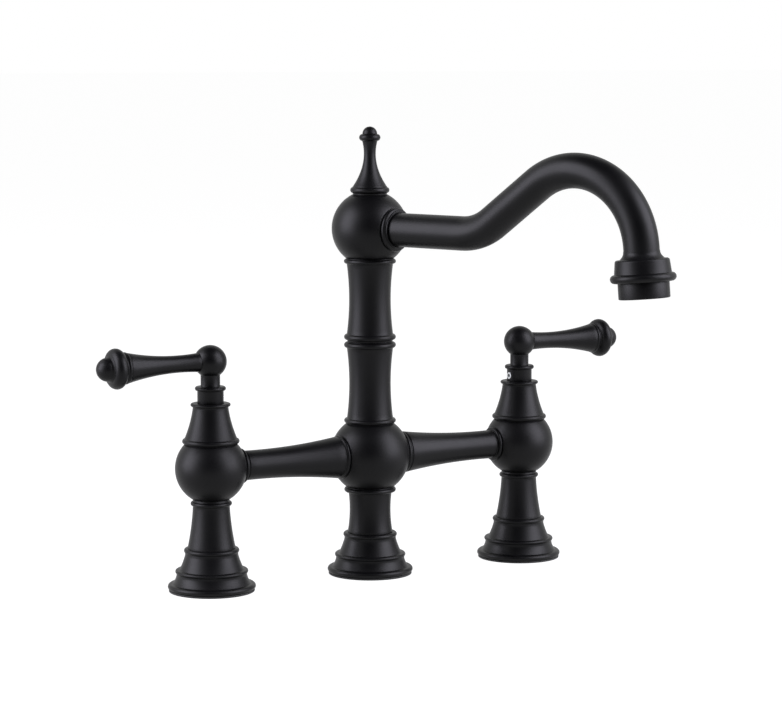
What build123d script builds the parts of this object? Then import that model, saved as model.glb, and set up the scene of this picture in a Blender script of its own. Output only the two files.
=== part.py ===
from build123d import *
import os
from math import asin, cos, degrees, radians, sin, sqrt, tan

# Deck-mounted bridge kitchen faucet with two lever valves and a swivel spout.
# Millimetres, +Z up, +X from the hot valve (left) to the cold valve (right), -Y towards the user.
# The origin is on the deck, on the axis of the centre leg.

# ---------------------------------------------------------------- driving dimensions
# Layout
inlet_spacing = 203.2  # hot inlet to cold inlet
bridge_height = 68.7  # deck to the axis of the bridge arms
swivel_height = 134.2  # deck to the parting line of the column
hub_height = 198.5  # deck to the axis of the spout's root
spout_heading = -70.0  # plan angle of the spout from +X, as it stands at rest
spout_reach = 188.4  # centre column to the middle of the outlet
outlet_height = 169.6  # deck to the middle of the outlet

# Fits
thread_gap = 0.05  # radial, between screwed or soldered pieces
running_gap = 0.06  # radial, between a turning shaft and its bore
slip_gap = 0.2  # radial, between loose covers and what they cover
air_gap = 0.35  # between pieces that pass each other when something turns

# Escutcheons, one round the foot of each leg
leg_spigot_radius = 11.4  # the plain foot of a leg, inside its escutcheon
collar_neck_radius = leg_spigot_radius + 3.4
collar_radius = collar_neck_radius + 0.6
cone_radius = collar_neck_radius + 3.1
cone_hollow = 0.25
step_neck_radius = cone_radius + 1.75
step_radius = step_neck_radius + 0.65
step_hollow = 0.3
rim_shoulder_radius = step_neck_radius + 2.05
rim_radius = rim_shoulder_radius + 2.8
rim_height = 3.3
step_height = 2.0
step_low = 10.1  # deck to the underside of the middle ring
collar_low = 21.5  # deck to the underside of the top ring
escutcheon_height = 24.1
escutcheon_wall = 2.4
ring_neck_height = 1.2  # plain groove under a ring

# Foot seals
seal_thickness = 1.0
seal_width = 3.6
seal_rib_width = 1.6
seal_rib_height = 1.2
seal_inset = 0.6

# Legs
inlet_radius = 9.32
inlet_depth = 15.0
waterway_radius = 5.6
side_leg_foot_radius = leg_spigot_radius + 2.0
side_leg_waist_radius = 10.25
side_leg_hollow = 0.5
side_leg_neck_radius = 10.2
side_leg_neck_height = 1.1
side_leg_ring_radius = side_leg_neck_radius + 1.3
side_leg_ring_height = 2.4
side_leg_stud_radius = side_leg_neck_radius - 1.8
side_leg_stud_length = 7.2
centre_leg_foot_radius = leg_spigot_radius + 1.5
centre_leg_waist_radius = 12.4
centre_leg_hollow = 0.9
centre_leg_stud_radius = 9.0
centre_leg_stud_length = 7.0
fixing_hole_radius = 4.25
fixing_hole_depth = 20.0

# Swivel
spigot_radius = 9.0
spigot_bore_radius = spigot_radius - 3.0
spigot_root_length = 21.0
spigot_top_length = 28.5
oring_section = 1.8
oring_first = 8.0  # parting line to the lower seal
oring_pitch = 6.5
clip_radius = spigot_radius + 0.9
clip_thickness = 1.2
clip_groove_depth = 1.0
clip_mouth = 6.0
washer_thickness = 1.7

# Centre body and column
centre_ball_radius = 22.75
mixing_chamber_radius = 12.0
mixing_chamber_height = 21.0
column_end_radius = spigot_radius + 4.2
column_hollow = 1.35
column_neck_radius = column_end_radius + 0.4
column_neck_height = 0.35
column_ring_radius = column_end_radius + 1.6
column_ring_height = 2.7
column_stud_radius = spigot_bore_radius + 3.6
column_stud_length = 7.0
column_shoulder_height = 23.5  # parting line to the shoulder under the retaining clip
column_cavity_radius = clip_radius + 0.4
swivel_neck_radius = column_end_radius + 0.7
swivel_neck_height = 0.5
swivel_ring_height = 3.2
washer_radius = swivel_neck_radius - 1.7

# Bridge arms
arm_inner_radius = 11.8
arm_outer_radius = 8.35
arm_hollow = 1.2
arm_bead_height = 2.2
arm_inner_bead_radius = arm_inner_radius + 0.6
arm_outer_bead_radius = arm_outer_radius + 1.55
arm_groove_width = 0.9
arm_groove_depth = 0.5
arm_stud_radius = 7.0
arm_socket_wall = 0.8  # valve chamber to the end of the arm's socket

# Spout
tube_radius = 9.55
tube_wall = 1.5
tube_root_depth = 7.0
tube_end_depth = 6.0
arch_span = 109.6  # where the spout starts to climb, to the middle of the outlet
spout_first_run = spout_reach - arch_span
climb_angle = 36.1
climb_bend_radius = 36.0
crown_radius = 42.9
outlet_lean = 5.0  # outward lean of the outlet, from straight down
root_bead_radius = tube_radius + 2.85
root_bead_height = 3.0
root_lip_radius = tube_radius + 1.35
root_lip_height = 0.8

# Spout hub and finial
hub_ball_radius = 21.7
hub_stud_radius = column_neck_radius - 1.9
hub_shelf = 0.8  # web between the column's stud and the spout's root
hub_chamber_radius = 9.4
hub_crown_thickness = 2.6
finial_neck_radius = 9.7
finial_seat_radius = finial_neck_radius + 0.5
finial_neck_height = 0.9
finial_ring_radius = finial_neck_radius + 1.45
finial_ring_height = 3.4
finial_foot_radius = 9.9
finial_waist_radius = 4.3
finial_hollow = 3.1
finial_spire_height = 26.0
finial_bead_radius = 6.05
finial_bead_height = 4.0
finial_ball_radius = 4.2
finial_stud_radius = 4.0
finial_stud_length = 7.0

# Nozzle and aerator
nozzle_radius = tube_radius + 4.95
nozzle_length = 7.6
nozzle_cove_radius = tube_radius + 2.45
nozzle_cove_height = 4.2
nozzle_cove_hollow = 0.7
nozzle_edge_radius = 1.3
nozzle_bead_radius = nozzle_radius + 3.0
nozzle_bead_height = 4.6
aerator_thread_radius = tube_radius + 2.25
aerator_thread_length = 3.6
aerator_radius = aerator_thread_radius + 1.85
aerator_height = 8.6
aerator_bore_radius = aerator_thread_radius - 1.4
aerator_lip_radius = aerator_bore_radius - 1.2
aerator_lip_height = 2.0
aerator_edge_radius = 0.6
aerator_washer_thickness = 1.0
insert_plate_thickness = 2.5
insert_wall = 1.3
jet_radius = 0.9
jet_rings = {3.1: 6, 6.7: 12}  # radius of each ring of jets, and how many it has
screen_thickness = 1.0
screen_hole = 1.1
screen_pitch = 1.9
screen_border = 1.6

# Cartridges
nose_radius = 9.3
nose_wall = 1.2
nose_standoff = 0.5  # chamber floor to the nose's lower edge, which the seat seal fills
window_width = 8.0
disc_gap = 0.15  # radial, discs in the nose
seat_seal_thickness = 2.0
fixed_disc_thickness = 2.5
moving_disc_thickness = 3.0
port_ring_radius = 4.2
port_width = 2.8
port_arc = 50.0
lug_width = 2.8
lug_gap = 0.1
dog_width = 3.0
dog_height = 1.4
dog_gap = 0.08
cartridge_thread_radius = nose_radius + 1.1
cartridge_thread_length = 8.0
hex_across_flats = 2 * cartridge_thread_radius + 0.2
hex_height = 4.4
face_oring_section = 1.5

# Spindles
spindle_radius = 4.0
spindle_flange_thickness = 3.0
spindle_oring_section = 1.4
spindle_oring_pitch = 4.0
spindle_clip_radius = spindle_radius + 1.5
spindle_clip_thickness = 0.9
spindle_clip_groove = 0.6
spindle_clip_mouth = 4.4
gland_radius = spindle_radius + 3.6
spline_teeth = 16
spline_depth = 0.55
spline_length = 6.8
spline_gap = 0.06

# Valve bodies
valve_ball_radius = 20.0
valve_chamber_radius = nose_radius + 3.1
valve_floor = 3.0

# Bonnets
bonnet_neck_radius = cartridge_thread_radius + 3.9
bonnet_seat_radius = bonnet_neck_radius + 0.5
bonnet_neck_height = 0.5
bonnet_ring_radius = bonnet_neck_radius + 1.6
bonnet_ring_height = 2.8
bonnet_foot_radius = bonnet_neck_radius + 0.3
bonnet_top_radius = gland_radius + 2.3
bonnet_hollow = 0.6
bonnet_cone_height = 17.0
bonnet_groove_height = 1.0
bonnet_flange_radius = bonnet_top_radius + 1.2
bonnet_flange_height = 1.8
bonnet_wall = 1.6
bonnet_roof = 1.6
bonnet_thread_length = 5.0

# Handles
skirt_radius = spindle_radius + 3.3
skirt_height = 6.6
handle_ring_radius = skirt_radius + 1.3
handle_ring_height = 2.4
handle_neck_radius = spindle_radius + 1.4
handle_ball_radius = 9.15
handle_ball_rise = 22.75  # skirt's lower edge to the ball's centre
grub_radius = 2.0
grub_rise = 2.9  # skirt's lower edge to the grub screw
grub_seat_depth = 0.7
grub_socket_across_flats = 2.0
grub_socket_depth = 1.8
grub_recess = 0.15
lever_root_radius = 5.3
lever_end_radius = 8.4
lever_hollow = 1.75
lever_length = 50.3  # handle axis to the knob's parting line
lever_droop = 0.8  # degrees below level
lever_stud_radius = lever_root_radius - 2.7
lever_stud_length = 4.5
knob_bead_radius = lever_end_radius + 0.4
knob_bead_height = 2.0
knob_neck_radius = lever_end_radius - 0.2
knob_disc_radius = 11.2
knob_disc_height = 4.6
knob_disc_rise = 4.6  # parting line to the near side of the disc
knob_cove_radius = 6.1
knob_cove_rise = 11.7
knob_cove_hollow = 0.5


# ---------------------------------------------------------------- shared geometry
def cap_height(ball_radius, flat_radius):
    """Distance from a ball's centre to a flat of the given radius cut on it."""
    return sqrt(ball_radius**2 - flat_radius**2)


def turning_plane(origin, direction, radial):
    """Plane for turned work: x is the radius and y the distance along the direction."""
    return Plane(origin=origin, x_dir=radial, z_dir=Vector(*radial).cross(Vector(*direction)))


def upright_plane(x):
    """Turning plane of the vertical axis at x, with heights from the deck."""
    return turning_plane((x, 0, 0), (0, 0, 1), (1, 0, 0))


def sideways_plane(x, z, side):
    """Turning plane of a level axis that runs along +X or -X from (x, z)."""
    return turning_plane((x, 0, z), (side, 0, 0), (0, 0, 1))


def turn(plane):
    """Turns the open sketch about its plane's y axis."""
    revolve(axis=Axis(plane.origin, plane.y_dir))


def band(inner, outer, low, high, mode=Mode.ADD):
    """A straight-sided ring in a turning sketch."""
    with Locations(((inner + outer) / 2, (low + high) / 2)):
        Rectangle(outer - inner, high - low, mode=mode)


def bead(radius, low, height):
    """A half-round ring, filled to the axis."""
    nose = height / 2
    band(0, radius - nose, low, low + height)
    with Locations((radius - nose, low + nose)):
        Circle(nose)


def flank(low, high, hollow):
    """A side from low to high, each (radius, height), hollowed at its middle and filled to the axis."""
    middle = ((low[0] + high[0]) / 2 - hollow, (low[1] + high[1]) / 2)
    with BuildLine() as side:
        ThreePointArc(low, middle, high)
        Polyline(high, (0, high[1]), (0, low[1]), low)
    make_face(side.edges())


def ball(radius, height, low_cut, high_cut):
    """Fills from the axis out to a ball about (0, height), cut flat at two heights."""
    low_radius = cap_height(radius, height - low_cut)
    high_radius = cap_height(radius, high_cut - height)
    with BuildLine() as side:
        ThreePointArc((low_radius, low_cut), (radius, height), (high_radius, high_cut))
        Polyline((high_radius, high_cut), (0, high_cut), (0, low_cut), (low_radius, low_cut))
    make_face(side.edges())


def dome(radius, height, low_cut):
    """Fills from the axis out to a ball about (0, height), from a flat cut up to its pole."""
    low_angle = -degrees(asin((height - low_cut) / radius))
    with BuildLine() as side:
        arc = CenterArc((0, height), radius, low_angle, 90 - low_angle)
        Polyline(arc @ 1, (0, low_cut), arc @ 0)
    make_face(side.edges())


def ring_section(radius, section, height):
    """The round section of a seal ring whose outside has the given radius."""
    with Locations((radius - section / 2, height)):
        Circle(section / 2)


def save(piece, name):
    """Labels a finished piece and writes it under its name."""
    piece.part.label = name
    export_step(piece.part, f"parts/{name}.step")


os.makedirs("parts", exist_ok=True)

valve_x = inlet_spacing / 2
sides = {"left": -1, "right": 1}
axes = {"left": -valve_x, "centre": 0.0, "right": valve_x}

# Seats between the pieces
side_leg_top = bridge_height - cap_height(valve_ball_radius, side_leg_neck_radius)
bonnet_seat = bridge_height + cap_height(valve_ball_radius, bonnet_seat_radius)
centre_leg_top = bridge_height - cap_height(centre_ball_radius, column_neck_radius)
column_seat = bridge_height + cap_height(centre_ball_radius, column_neck_radius)
arm_inner_seat = cap_height(centre_ball_radius, arm_inner_bead_radius)
valve_flat = cap_height(valve_ball_radius, arm_outer_bead_radius)
arm_outer_seat = valve_x - valve_flat
arm_stud_length = valve_flat - valve_chamber_radius - arm_socket_wall - thread_gap
upper_column_foot = swivel_height + air_gap
hub_seat = hub_height - cap_height(hub_ball_radius, column_neck_radius)
hub_stud_top = hub_height - tube_radius - hub_shelf
finial_seat = hub_height + cap_height(hub_ball_radius, finial_seat_radius)
bonnet_groove_low = bonnet_seat + bonnet_neck_height + bonnet_ring_height + bonnet_cone_height
bonnet_top = bonnet_groove_low + bonnet_groove_height + bonnet_flange_height
handle_foot = bonnet_top + air_gap
handle_height = handle_foot + handle_ball_rise


# ---------------------------------------------------------------- feet and legs
def make_escutcheon(name, x):
    """Stepped bell that covers the hole in the deck."""
    plane = upright_plane(x)
    rim_top = seal_thickness + rim_height
    step_neck_low = step_low - ring_neck_height
    roof = collar_low - ring_neck_height
    with BuildPart() as escutcheon:
        with BuildSketch(plane):
            bead(rim_radius, seal_thickness, rim_height)
            flank((rim_shoulder_radius, rim_top), (step_neck_radius, step_neck_low), step_hollow)
            band(0, step_neck_radius, step_neck_low, step_low)
            bead(step_radius, step_low, step_height)
            flank((cone_radius, step_low + step_height), (collar_neck_radius, roof), cone_hollow)
            band(0, collar_neck_radius, roof, collar_low)
            bead(collar_radius, collar_low, escutcheon_height - collar_low)
            with BuildLine():
                Polyline(
                    (0, seal_thickness),
                    (step_neck_radius, seal_thickness),
                    (collar_neck_radius - escutcheon_wall, roof),
                    (0, roof),
                    close=True,
                )
            make_face(mode=Mode.SUBTRACT)
            band(0, leg_spigot_radius + slip_gap, roof, escutcheon_height, Mode.SUBTRACT)
            groove_inner = rim_radius - seal_inset - (seal_width + seal_rib_width) / 2
            band(
                groove_inner,
                groove_inner + seal_rib_width,
                seal_thickness,
                seal_thickness + seal_rib_height,
                Mode.SUBTRACT,
            )
        turn(plane)
    save(escutcheon, name)


def make_foot_seal(name, x):
    """Flat rubber ring with a rib that snaps into the escutcheon's rim."""
    plane = upright_plane(x)
    outer = rim_radius - seal_inset
    rib_inner = outer - (seal_width + seal_rib_width) / 2
    with BuildPart() as foot_seal:
        with BuildSketch(plane):
            band(outer - seal_width, outer, 0, seal_thickness)
            band(rib_inner, rib_inner + seal_rib_width, seal_thickness, seal_thickness + seal_rib_height)
        turn(plane)
    save(foot_seal, name)


def make_side_leg(name, x):
    """Flared leg that carries a valve body and brings its water up."""
    plane = upright_plane(x)
    foot = (side_leg_foot_radius, escutcheon_height)
    ring_low = side_leg_top - side_leg_neck_height - side_leg_ring_height
    stud_top = side_leg_top + side_leg_stud_length
    with BuildPart() as leg:
        with BuildSketch(plane):
            band(0, leg_spigot_radius, 0, escutcheon_height)
            flank(foot, (side_leg_waist_radius, ring_low), side_leg_hollow)
            bead(side_leg_ring_radius, ring_low, side_leg_ring_height)
            band(0, side_leg_neck_radius, side_leg_top - side_leg_neck_height, side_leg_top)
            band(0, side_leg_stud_radius, side_leg_top, stud_top)
            band(0, waterway_radius, inlet_depth, stud_top, Mode.SUBTRACT)
            band(0, inlet_radius, 0, inlet_depth, Mode.SUBTRACT)
        turn(plane)
    save(leg, name)


for place, x in axes.items():
    make_escutcheon(f"{place}_escutcheon", x)
    make_foot_seal(f"{place}_foot_seal", x)
for place in sides:
    make_side_leg(f"{place}_leg", axes[place])

centre_plane = upright_plane(0)
centre_ring_low = centre_leg_top - column_neck_height - column_ring_height
with BuildPart() as centre_leg:
    with BuildSketch(centre_plane):
        band(0, leg_spigot_radius, 0, escutcheon_height)
        flank(
            (centre_leg_foot_radius, escutcheon_height),
            (centre_leg_waist_radius, centre_ring_low),
            centre_leg_hollow,
        )
        bead(column_ring_radius, centre_ring_low, column_ring_height)
        band(0, column_neck_radius, centre_leg_top - column_neck_height, centre_leg_top)
        band(0, centre_leg_stud_radius, centre_leg_top, centre_leg_top + centre_leg_stud_length)
        band(0, fixing_hole_radius, 0, fixing_hole_depth, Mode.SUBTRACT)
    turn(centre_plane)
save(centre_leg, "centre_leg")


# ---------------------------------------------------------------- bodies and bridge
chamber_floor = side_leg_top + side_leg_stud_length + thread_gap + valve_floor


def make_valve_body(name, x, side):
    """Hollow ball that holds a cartridge and feeds its bridge arm."""
    plane = upright_plane(x)
    thread_low = bonnet_seat - cartridge_thread_length
    socket_roof = side_leg_top + side_leg_stud_length + thread_gap
    arm_seat = Plane(
        origin=(side * arm_outer_seat, 0, bridge_height), x_dir=(0, 1, 0), z_dir=(-side, 0, 0)
    )
    with BuildPart() as valve_body:
        with BuildSketch(plane):
            ball(valve_ball_radius, bridge_height, side_leg_top, bonnet_seat)
            band(0, side_leg_stud_radius + thread_gap, side_leg_top, socket_roof, Mode.SUBTRACT)
            band(0, waterway_radius, socket_roof, chamber_floor, Mode.SUBTRACT)
            band(0, valve_chamber_radius, chamber_floor, thread_low, Mode.SUBTRACT)
            band(0, cartridge_thread_radius + thread_gap, thread_low, bonnet_seat, Mode.SUBTRACT)
        turn(plane)
        split(bisect_by=arm_seat, keep=Keep.BOTTOM)
        with BuildSketch(arm_seat):
            Circle(arm_stud_radius + thread_gap)
        extrude(amount=-arm_stud_length - thread_gap, mode=Mode.SUBTRACT)
        with BuildSketch(arm_seat):
            Circle(waterway_radius)
        extrude(amount=-valve_flat, mode=Mode.SUBTRACT)
    save(valve_body, name)


def make_bridge_arm(name, side):
    """Trumpet tube between the centre body and a valve body."""
    plane = sideways_plane(0, bridge_height, side)
    inner_groove = arm_inner_seat + arm_bead_height
    inner_end = inner_groove + arm_groove_width
    outer_bead = arm_outer_seat - arm_bead_height
    outer_end = outer_bead - arm_groove_width
    with BuildPart() as bridge_arm:
        with BuildSketch(plane):
            band(0, arm_stud_radius, arm_inner_seat - arm_stud_length, arm_inner_seat)
            bead(arm_inner_bead_radius, arm_inner_seat, arm_bead_height)
            band(0, arm_inner_radius - arm_groove_depth, inner_groove, inner_end)
            flank((arm_inner_radius, inner_end), (arm_outer_radius, outer_end), arm_hollow)
            band(0, arm_outer_radius - arm_groove_depth, outer_end, outer_bead)
            bead(arm_outer_bead_radius, outer_bead, arm_bead_height)
            band(0, arm_stud_radius, arm_outer_seat, arm_outer_seat + arm_stud_length)
            band(
                0,
                waterway_radius,
                arm_inner_seat - arm_stud_length,
                arm_outer_seat + arm_stud_length,
                Mode.SUBTRACT,
            )
        turn(plane)
    save(bridge_arm, name)


for place, side in sides.items():
    make_valve_body(f"{place}_valve_body", axes[place], side)
    make_bridge_arm(f"{place}_bridge_arm", side)

mixing_floor = bridge_height - mixing_chamber_height / 2
mixing_roof = bridge_height + mixing_chamber_height / 2
with BuildPart() as centre_body:
    with BuildSketch(centre_plane):
        ball(centre_ball_radius, bridge_height, centre_leg_top, column_seat)
        band(
            0,
            centre_leg_stud_radius + thread_gap,
            centre_leg_top,
            centre_leg_top + centre_leg_stud_length + thread_gap,
            Mode.SUBTRACT,
        )
        band(0, mixing_chamber_radius, mixing_floor, mixing_roof, Mode.SUBTRACT)
        band(0, column_stud_radius + thread_gap, mixing_roof, column_seat, Mode.SUBTRACT)
    turn(centre_plane)
    for side in sides.values():
        arm_seat = Plane(
            origin=(side * arm_inner_seat, 0, bridge_height), x_dir=(0, 1, 0), z_dir=(side, 0, 0)
        )
        split(bisect_by=arm_seat, keep=Keep.BOTTOM)
        with BuildSketch(arm_seat):
            Circle(arm_stud_radius + thread_gap)
        extrude(amount=-arm_stud_length - thread_gap, mode=Mode.SUBTRACT)
        with BuildSketch(arm_seat):
            Circle(waterway_radius)
        extrude(amount=-arm_inner_seat, mode=Mode.SUBTRACT)
save(centre_body, "centre_body")

# ---------------------------------------------------------------- column and swivel
lower_ring_low = column_seat + column_neck_height
lower_flank_low = lower_ring_low + column_ring_height
swivel_ring_low = swivel_height - swivel_neck_height - swivel_ring_height
spigot_foot = swivel_height - spigot_root_length
washer_seat = upper_column_foot - washer_thickness
with BuildPart() as lower_column:
    with BuildSketch(centre_plane):
        band(0, column_stud_radius, column_seat - column_stud_length, column_seat)
        band(0, column_neck_radius, column_seat, lower_ring_low)
        bead(column_ring_radius, lower_ring_low, column_ring_height)
        flank((column_end_radius, lower_flank_low), (column_end_radius, swivel_ring_low), column_hollow)
        bead(column_ring_radius, swivel_ring_low, swivel_ring_height)
        band(0, swivel_neck_radius, swivel_height - swivel_neck_height, swivel_height)
        band(0, spigot_bore_radius, column_seat - column_stud_length, spigot_foot, Mode.SUBTRACT)
        band(0, spigot_radius + thread_gap, spigot_foot, swivel_height, Mode.SUBTRACT)
        band(0, washer_radius + thread_gap, washer_seat, swivel_height, Mode.SUBTRACT)
    turn(centre_plane)
save(lower_column, "lower_column")

clip_low = swivel_height + column_shoulder_height + air_gap
spigot_top = swivel_height + spigot_top_length
oring_heights = [swivel_height + oring_first, swivel_height + oring_first + oring_pitch]
with BuildPart() as swivel_spigot:
    with BuildSketch(centre_plane):
        band(spigot_bore_radius, spigot_radius, spigot_foot, spigot_top)
        for height in oring_heights:
            band(
                spigot_radius - oring_section - thread_gap,
                spigot_radius,
                height - oring_section / 2 - slip_gap,
                height + oring_section / 2 + slip_gap,
                Mode.SUBTRACT,
            )
        band(
            spigot_radius - clip_groove_depth,
            spigot_radius,
            clip_low,
            clip_low + clip_thickness,
            Mode.SUBTRACT,
        )
    turn(centre_plane)
save(swivel_spigot, "swivel_spigot")

with BuildPart() as swivel_orings:
    with BuildSketch(centre_plane):
        for height in oring_heights:
            ring_section(spigot_radius, oring_section, height)
    turn(centre_plane)
save(swivel_orings, "swivel_orings")

with BuildPart() as glide_washer:
    with BuildSketch(Plane.XY.offset(washer_seat)):
        Circle(washer_radius)
        Circle(spigot_radius + slip_gap, mode=Mode.SUBTRACT)
    extrude(amount=washer_thickness)
save(glide_washer, "glide_washer")


def make_clip(name, plane, outer, inner, mouth, thickness):
    """Open spring ring that lies in a shaft's groove."""
    with BuildPart() as clip:
        with BuildSketch(plane):
            Circle(outer)
            Circle(inner, mode=Mode.SUBTRACT)
            with Locations((0, outer)):
                Rectangle(mouth, 2 * outer, mode=Mode.SUBTRACT)
        extrude(amount=thickness)
    save(clip, name)


make_clip(
    "swivel_clip",
    Plane.XY.offset(clip_low),
    clip_radius,
    spigot_radius - clip_groove_depth + thread_gap,
    clip_mouth,
    clip_thickness,
)

upper_ring_low = upper_column_foot + swivel_neck_height
upper_flank_low = upper_ring_low + swivel_ring_height
hub_ring_low = hub_seat - column_neck_height - column_ring_height
shoulder = swivel_height + column_shoulder_height
with BuildPart() as upper_column:
    with BuildSketch(centre_plane):
        band(0, swivel_neck_radius, upper_column_foot, upper_ring_low)
        bead(column_ring_radius, upper_ring_low, swivel_ring_height)
        flank((column_end_radius, upper_flank_low), (column_end_radius, hub_ring_low), column_hollow)
        bead(column_ring_radius, hub_ring_low, column_ring_height)
        band(0, column_neck_radius, hub_seat - column_neck_height, hub_seat)
        band(0, hub_stud_radius, hub_seat, hub_stud_top)
        band(0, spigot_radius + running_gap, upper_column_foot, shoulder, Mode.SUBTRACT)
        band(0, column_cavity_radius, shoulder, hub_stud_top, Mode.SUBTRACT)
    turn(centre_plane)
save(upper_column, "upper_column")

# ---------------------------------------------------------------- spout
heading = Vector(cos(radians(spout_heading)), sin(radians(spout_heading)), 0)
spout_plane = Plane(origin=(0, 0, 0), x_dir=heading, z_dir=heading.cross(Vector(0, 0, 1)))
lean = radians(outlet_lean)
outlet_down = heading * sin(lean) - Vector(0, 0, cos(lean))
outlet_side = heading * cos(lean) + Vector(0, 0, sin(lean))
outlet_stack = nozzle_length + nozzle_bead_height + aerator_height
shoulder_reach = spout_reach - outlet_stack * sin(lean)
shoulder_height = outlet_height + outlet_stack * cos(lean)
tube_end = (shoulder_reach + tube_end_depth * sin(lean), shoulder_height - tube_end_depth * cos(lean))

root_seat = cap_height(hub_ball_radius, root_bead_radius)
root_plane = turning_plane((0, 0, hub_height), heading, (0, 0, 1))
hub_flat = Plane(origin=heading * root_seat + Vector(0, 0, hub_height), z_dir=heading)
hub_socket_roof = hub_stud_top + thread_gap
hub_chamber_roof = finial_seat - finial_stud_length - hub_crown_thickness
with BuildPart() as spout_hub:
    with BuildSketch(centre_plane):
        ball(hub_ball_radius, hub_height, hub_seat, finial_seat)
        band(0, hub_stud_radius + thread_gap, hub_seat, hub_socket_roof, Mode.SUBTRACT)
        band(0, hub_chamber_radius, hub_socket_roof, hub_chamber_roof, Mode.SUBTRACT)
        band(
            0,
            finial_stud_radius + thread_gap,
            finial_seat - finial_stud_length - thread_gap,
            finial_seat,
            Mode.SUBTRACT,
        )
    turn(centre_plane)
    split(bisect_by=hub_flat, keep=Keep.BOTTOM)
    with BuildSketch(hub_flat):
        Circle(tube_radius + thread_gap)
    extrude(amount=-tube_root_depth - thread_gap, mode=Mode.SUBTRACT)
    with BuildSketch(hub_flat):
        Circle(tube_radius - tube_wall)
    extrude(amount=-root_seat, mode=Mode.SUBTRACT)
save(spout_hub, "spout_hub")

spire_low = finial_seat + finial_neck_height + finial_ring_height
spire_high = spire_low + finial_spire_height
with BuildPart() as finial:
    with BuildSketch(centre_plane):
        band(0, finial_stud_radius, finial_seat - finial_stud_length, finial_seat)
        band(0, finial_neck_radius, finial_seat, finial_seat + finial_neck_height)
        bead(finial_ring_radius, finial_seat + finial_neck_height, finial_ring_height)
        flank((finial_foot_radius, spire_low), (finial_waist_radius, spire_high), finial_hollow)
        bead(finial_bead_radius, spire_high, finial_bead_height)
        dome(finial_ball_radius, spire_high + finial_bead_height, spire_high + finial_bead_height)
    turn(centre_plane)
save(finial, "finial")

with BuildPart() as spout_collar:
    with BuildSketch(root_plane):
        bead(root_bead_radius, root_seat, root_bead_height)
        lip_low = root_seat + root_bead_height
        band(0, root_lip_radius, lip_low, lip_low + root_lip_height)
        band(0, tube_radius + thread_gap, root_seat, lip_low + root_lip_height, Mode.SUBTRACT)
    turn(root_plane)
save(spout_collar, "spout_collar")

climb = tan(radians(climb_angle))
crown_height = (
    hub_height + (tube_end[0] + tube_end[1] * tan(lean) - spout_first_run) * climb
) / (1 + tan(lean) * climb)
crown_corner = (tube_end[0] - (crown_height - tube_end[1]) * tan(lean), crown_height)
with BuildPart() as spout_tube:
    with BuildLine(spout_plane) as route:
        FilletPolyline(
            (root_seat - tube_root_depth, hub_height),
            (spout_first_run, hub_height),
            crown_corner,
            tube_end,
            radius=[climb_bend_radius, crown_radius],
        )
    with BuildSketch(Plane(origin=route.line @ 0, z_dir=route.line % 0)):
        Circle(tube_radius)
        Circle(tube_radius - tube_wall, mode=Mode.SUBTRACT)
    sweep()
save(spout_tube, "spout_tube")

# ---------------------------------------------------------------- nozzle and aerator
# Distances run down the outlet's axis from the nozzle's shoulder.
outlet_origin = heading * shoulder_reach + Vector(0, 0, shoulder_height)
outlet_plane = turning_plane(outlet_origin, outlet_down, outlet_side)
nozzle_end = nozzle_length + nozzle_bead_height
aerator_end = nozzle_end + aerator_height
thread_top = nozzle_end - aerator_thread_length
washer_top = thread_top - aerator_washer_thickness
screen_low = aerator_end - aerator_lip_height
insert_low = screen_low - screen_thickness
with BuildPart() as nozzle_collar:
    with BuildSketch(outlet_plane) as collar_profile:
        flank((nozzle_cove_radius, 0), (tube_radius + slip_gap, -nozzle_cove_height), nozzle_cove_hollow)
        band(0, nozzle_radius, 0, nozzle_length)
        fillet(collar_profile.vertices().group_by(Axis.X)[-1], nozzle_edge_radius)
        band(0, nozzle_radius, nozzle_length / 2, nozzle_length)
        bead(nozzle_bead_radius, nozzle_length, nozzle_bead_height)
        band(0, tube_radius + thread_gap, -nozzle_cove_height, tube_end_depth, Mode.SUBTRACT)
        band(0, tube_radius - tube_wall, tube_end_depth, nozzle_end, Mode.SUBTRACT)
        band(0, aerator_thread_radius + thread_gap, washer_top, nozzle_end, Mode.SUBTRACT)
    turn(outlet_plane)
save(nozzle_collar, "nozzle_collar")

with BuildPart() as aerator_washer:
    with BuildSketch(outlet_plane):
        band(tube_radius - tube_wall, aerator_thread_radius - slip_gap, washer_top, thread_top)
    turn(outlet_plane)
save(aerator_washer, "aerator_washer")

with BuildPart() as aerator_housing:
    with BuildSketch(outlet_plane) as housing_profile:
        band(0, aerator_radius, nozzle_end, aerator_end)
        corners = housing_profile.vertices().group_by(Axis.X)[-1]
        fillet(corners.sort_by(Axis.Y)[-1], aerator_edge_radius)
        band(0, aerator_thread_radius, thread_top, nozzle_end)
        band(0, aerator_bore_radius, thread_top, screen_low, Mode.SUBTRACT)
        band(0, aerator_lip_radius, screen_low, aerator_end, Mode.SUBTRACT)
    turn(outlet_plane)
save(aerator_housing, "aerator_housing")

insert_radius = aerator_bore_radius - thread_gap
insert_face = Plane(origin=outlet_origin + outlet_down * thread_top, z_dir=outlet_down)
with BuildPart() as aerator_insert:
    with BuildSketch(outlet_plane):
        band(0, insert_radius, thread_top, insert_low)
        band(
            0,
            insert_radius - insert_wall,
            thread_top + insert_plate_thickness,
            insert_low,
            Mode.SUBTRACT,
        )
    turn(outlet_plane)
    with BuildSketch(insert_face):
        for ring_radius, count in jet_rings.items():
            with PolarLocations(ring_radius, count):
                Circle(jet_radius)
    extrude(amount=insert_plate_thickness, mode=Mode.SUBTRACT)
save(aerator_insert, "aerator_insert")

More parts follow.
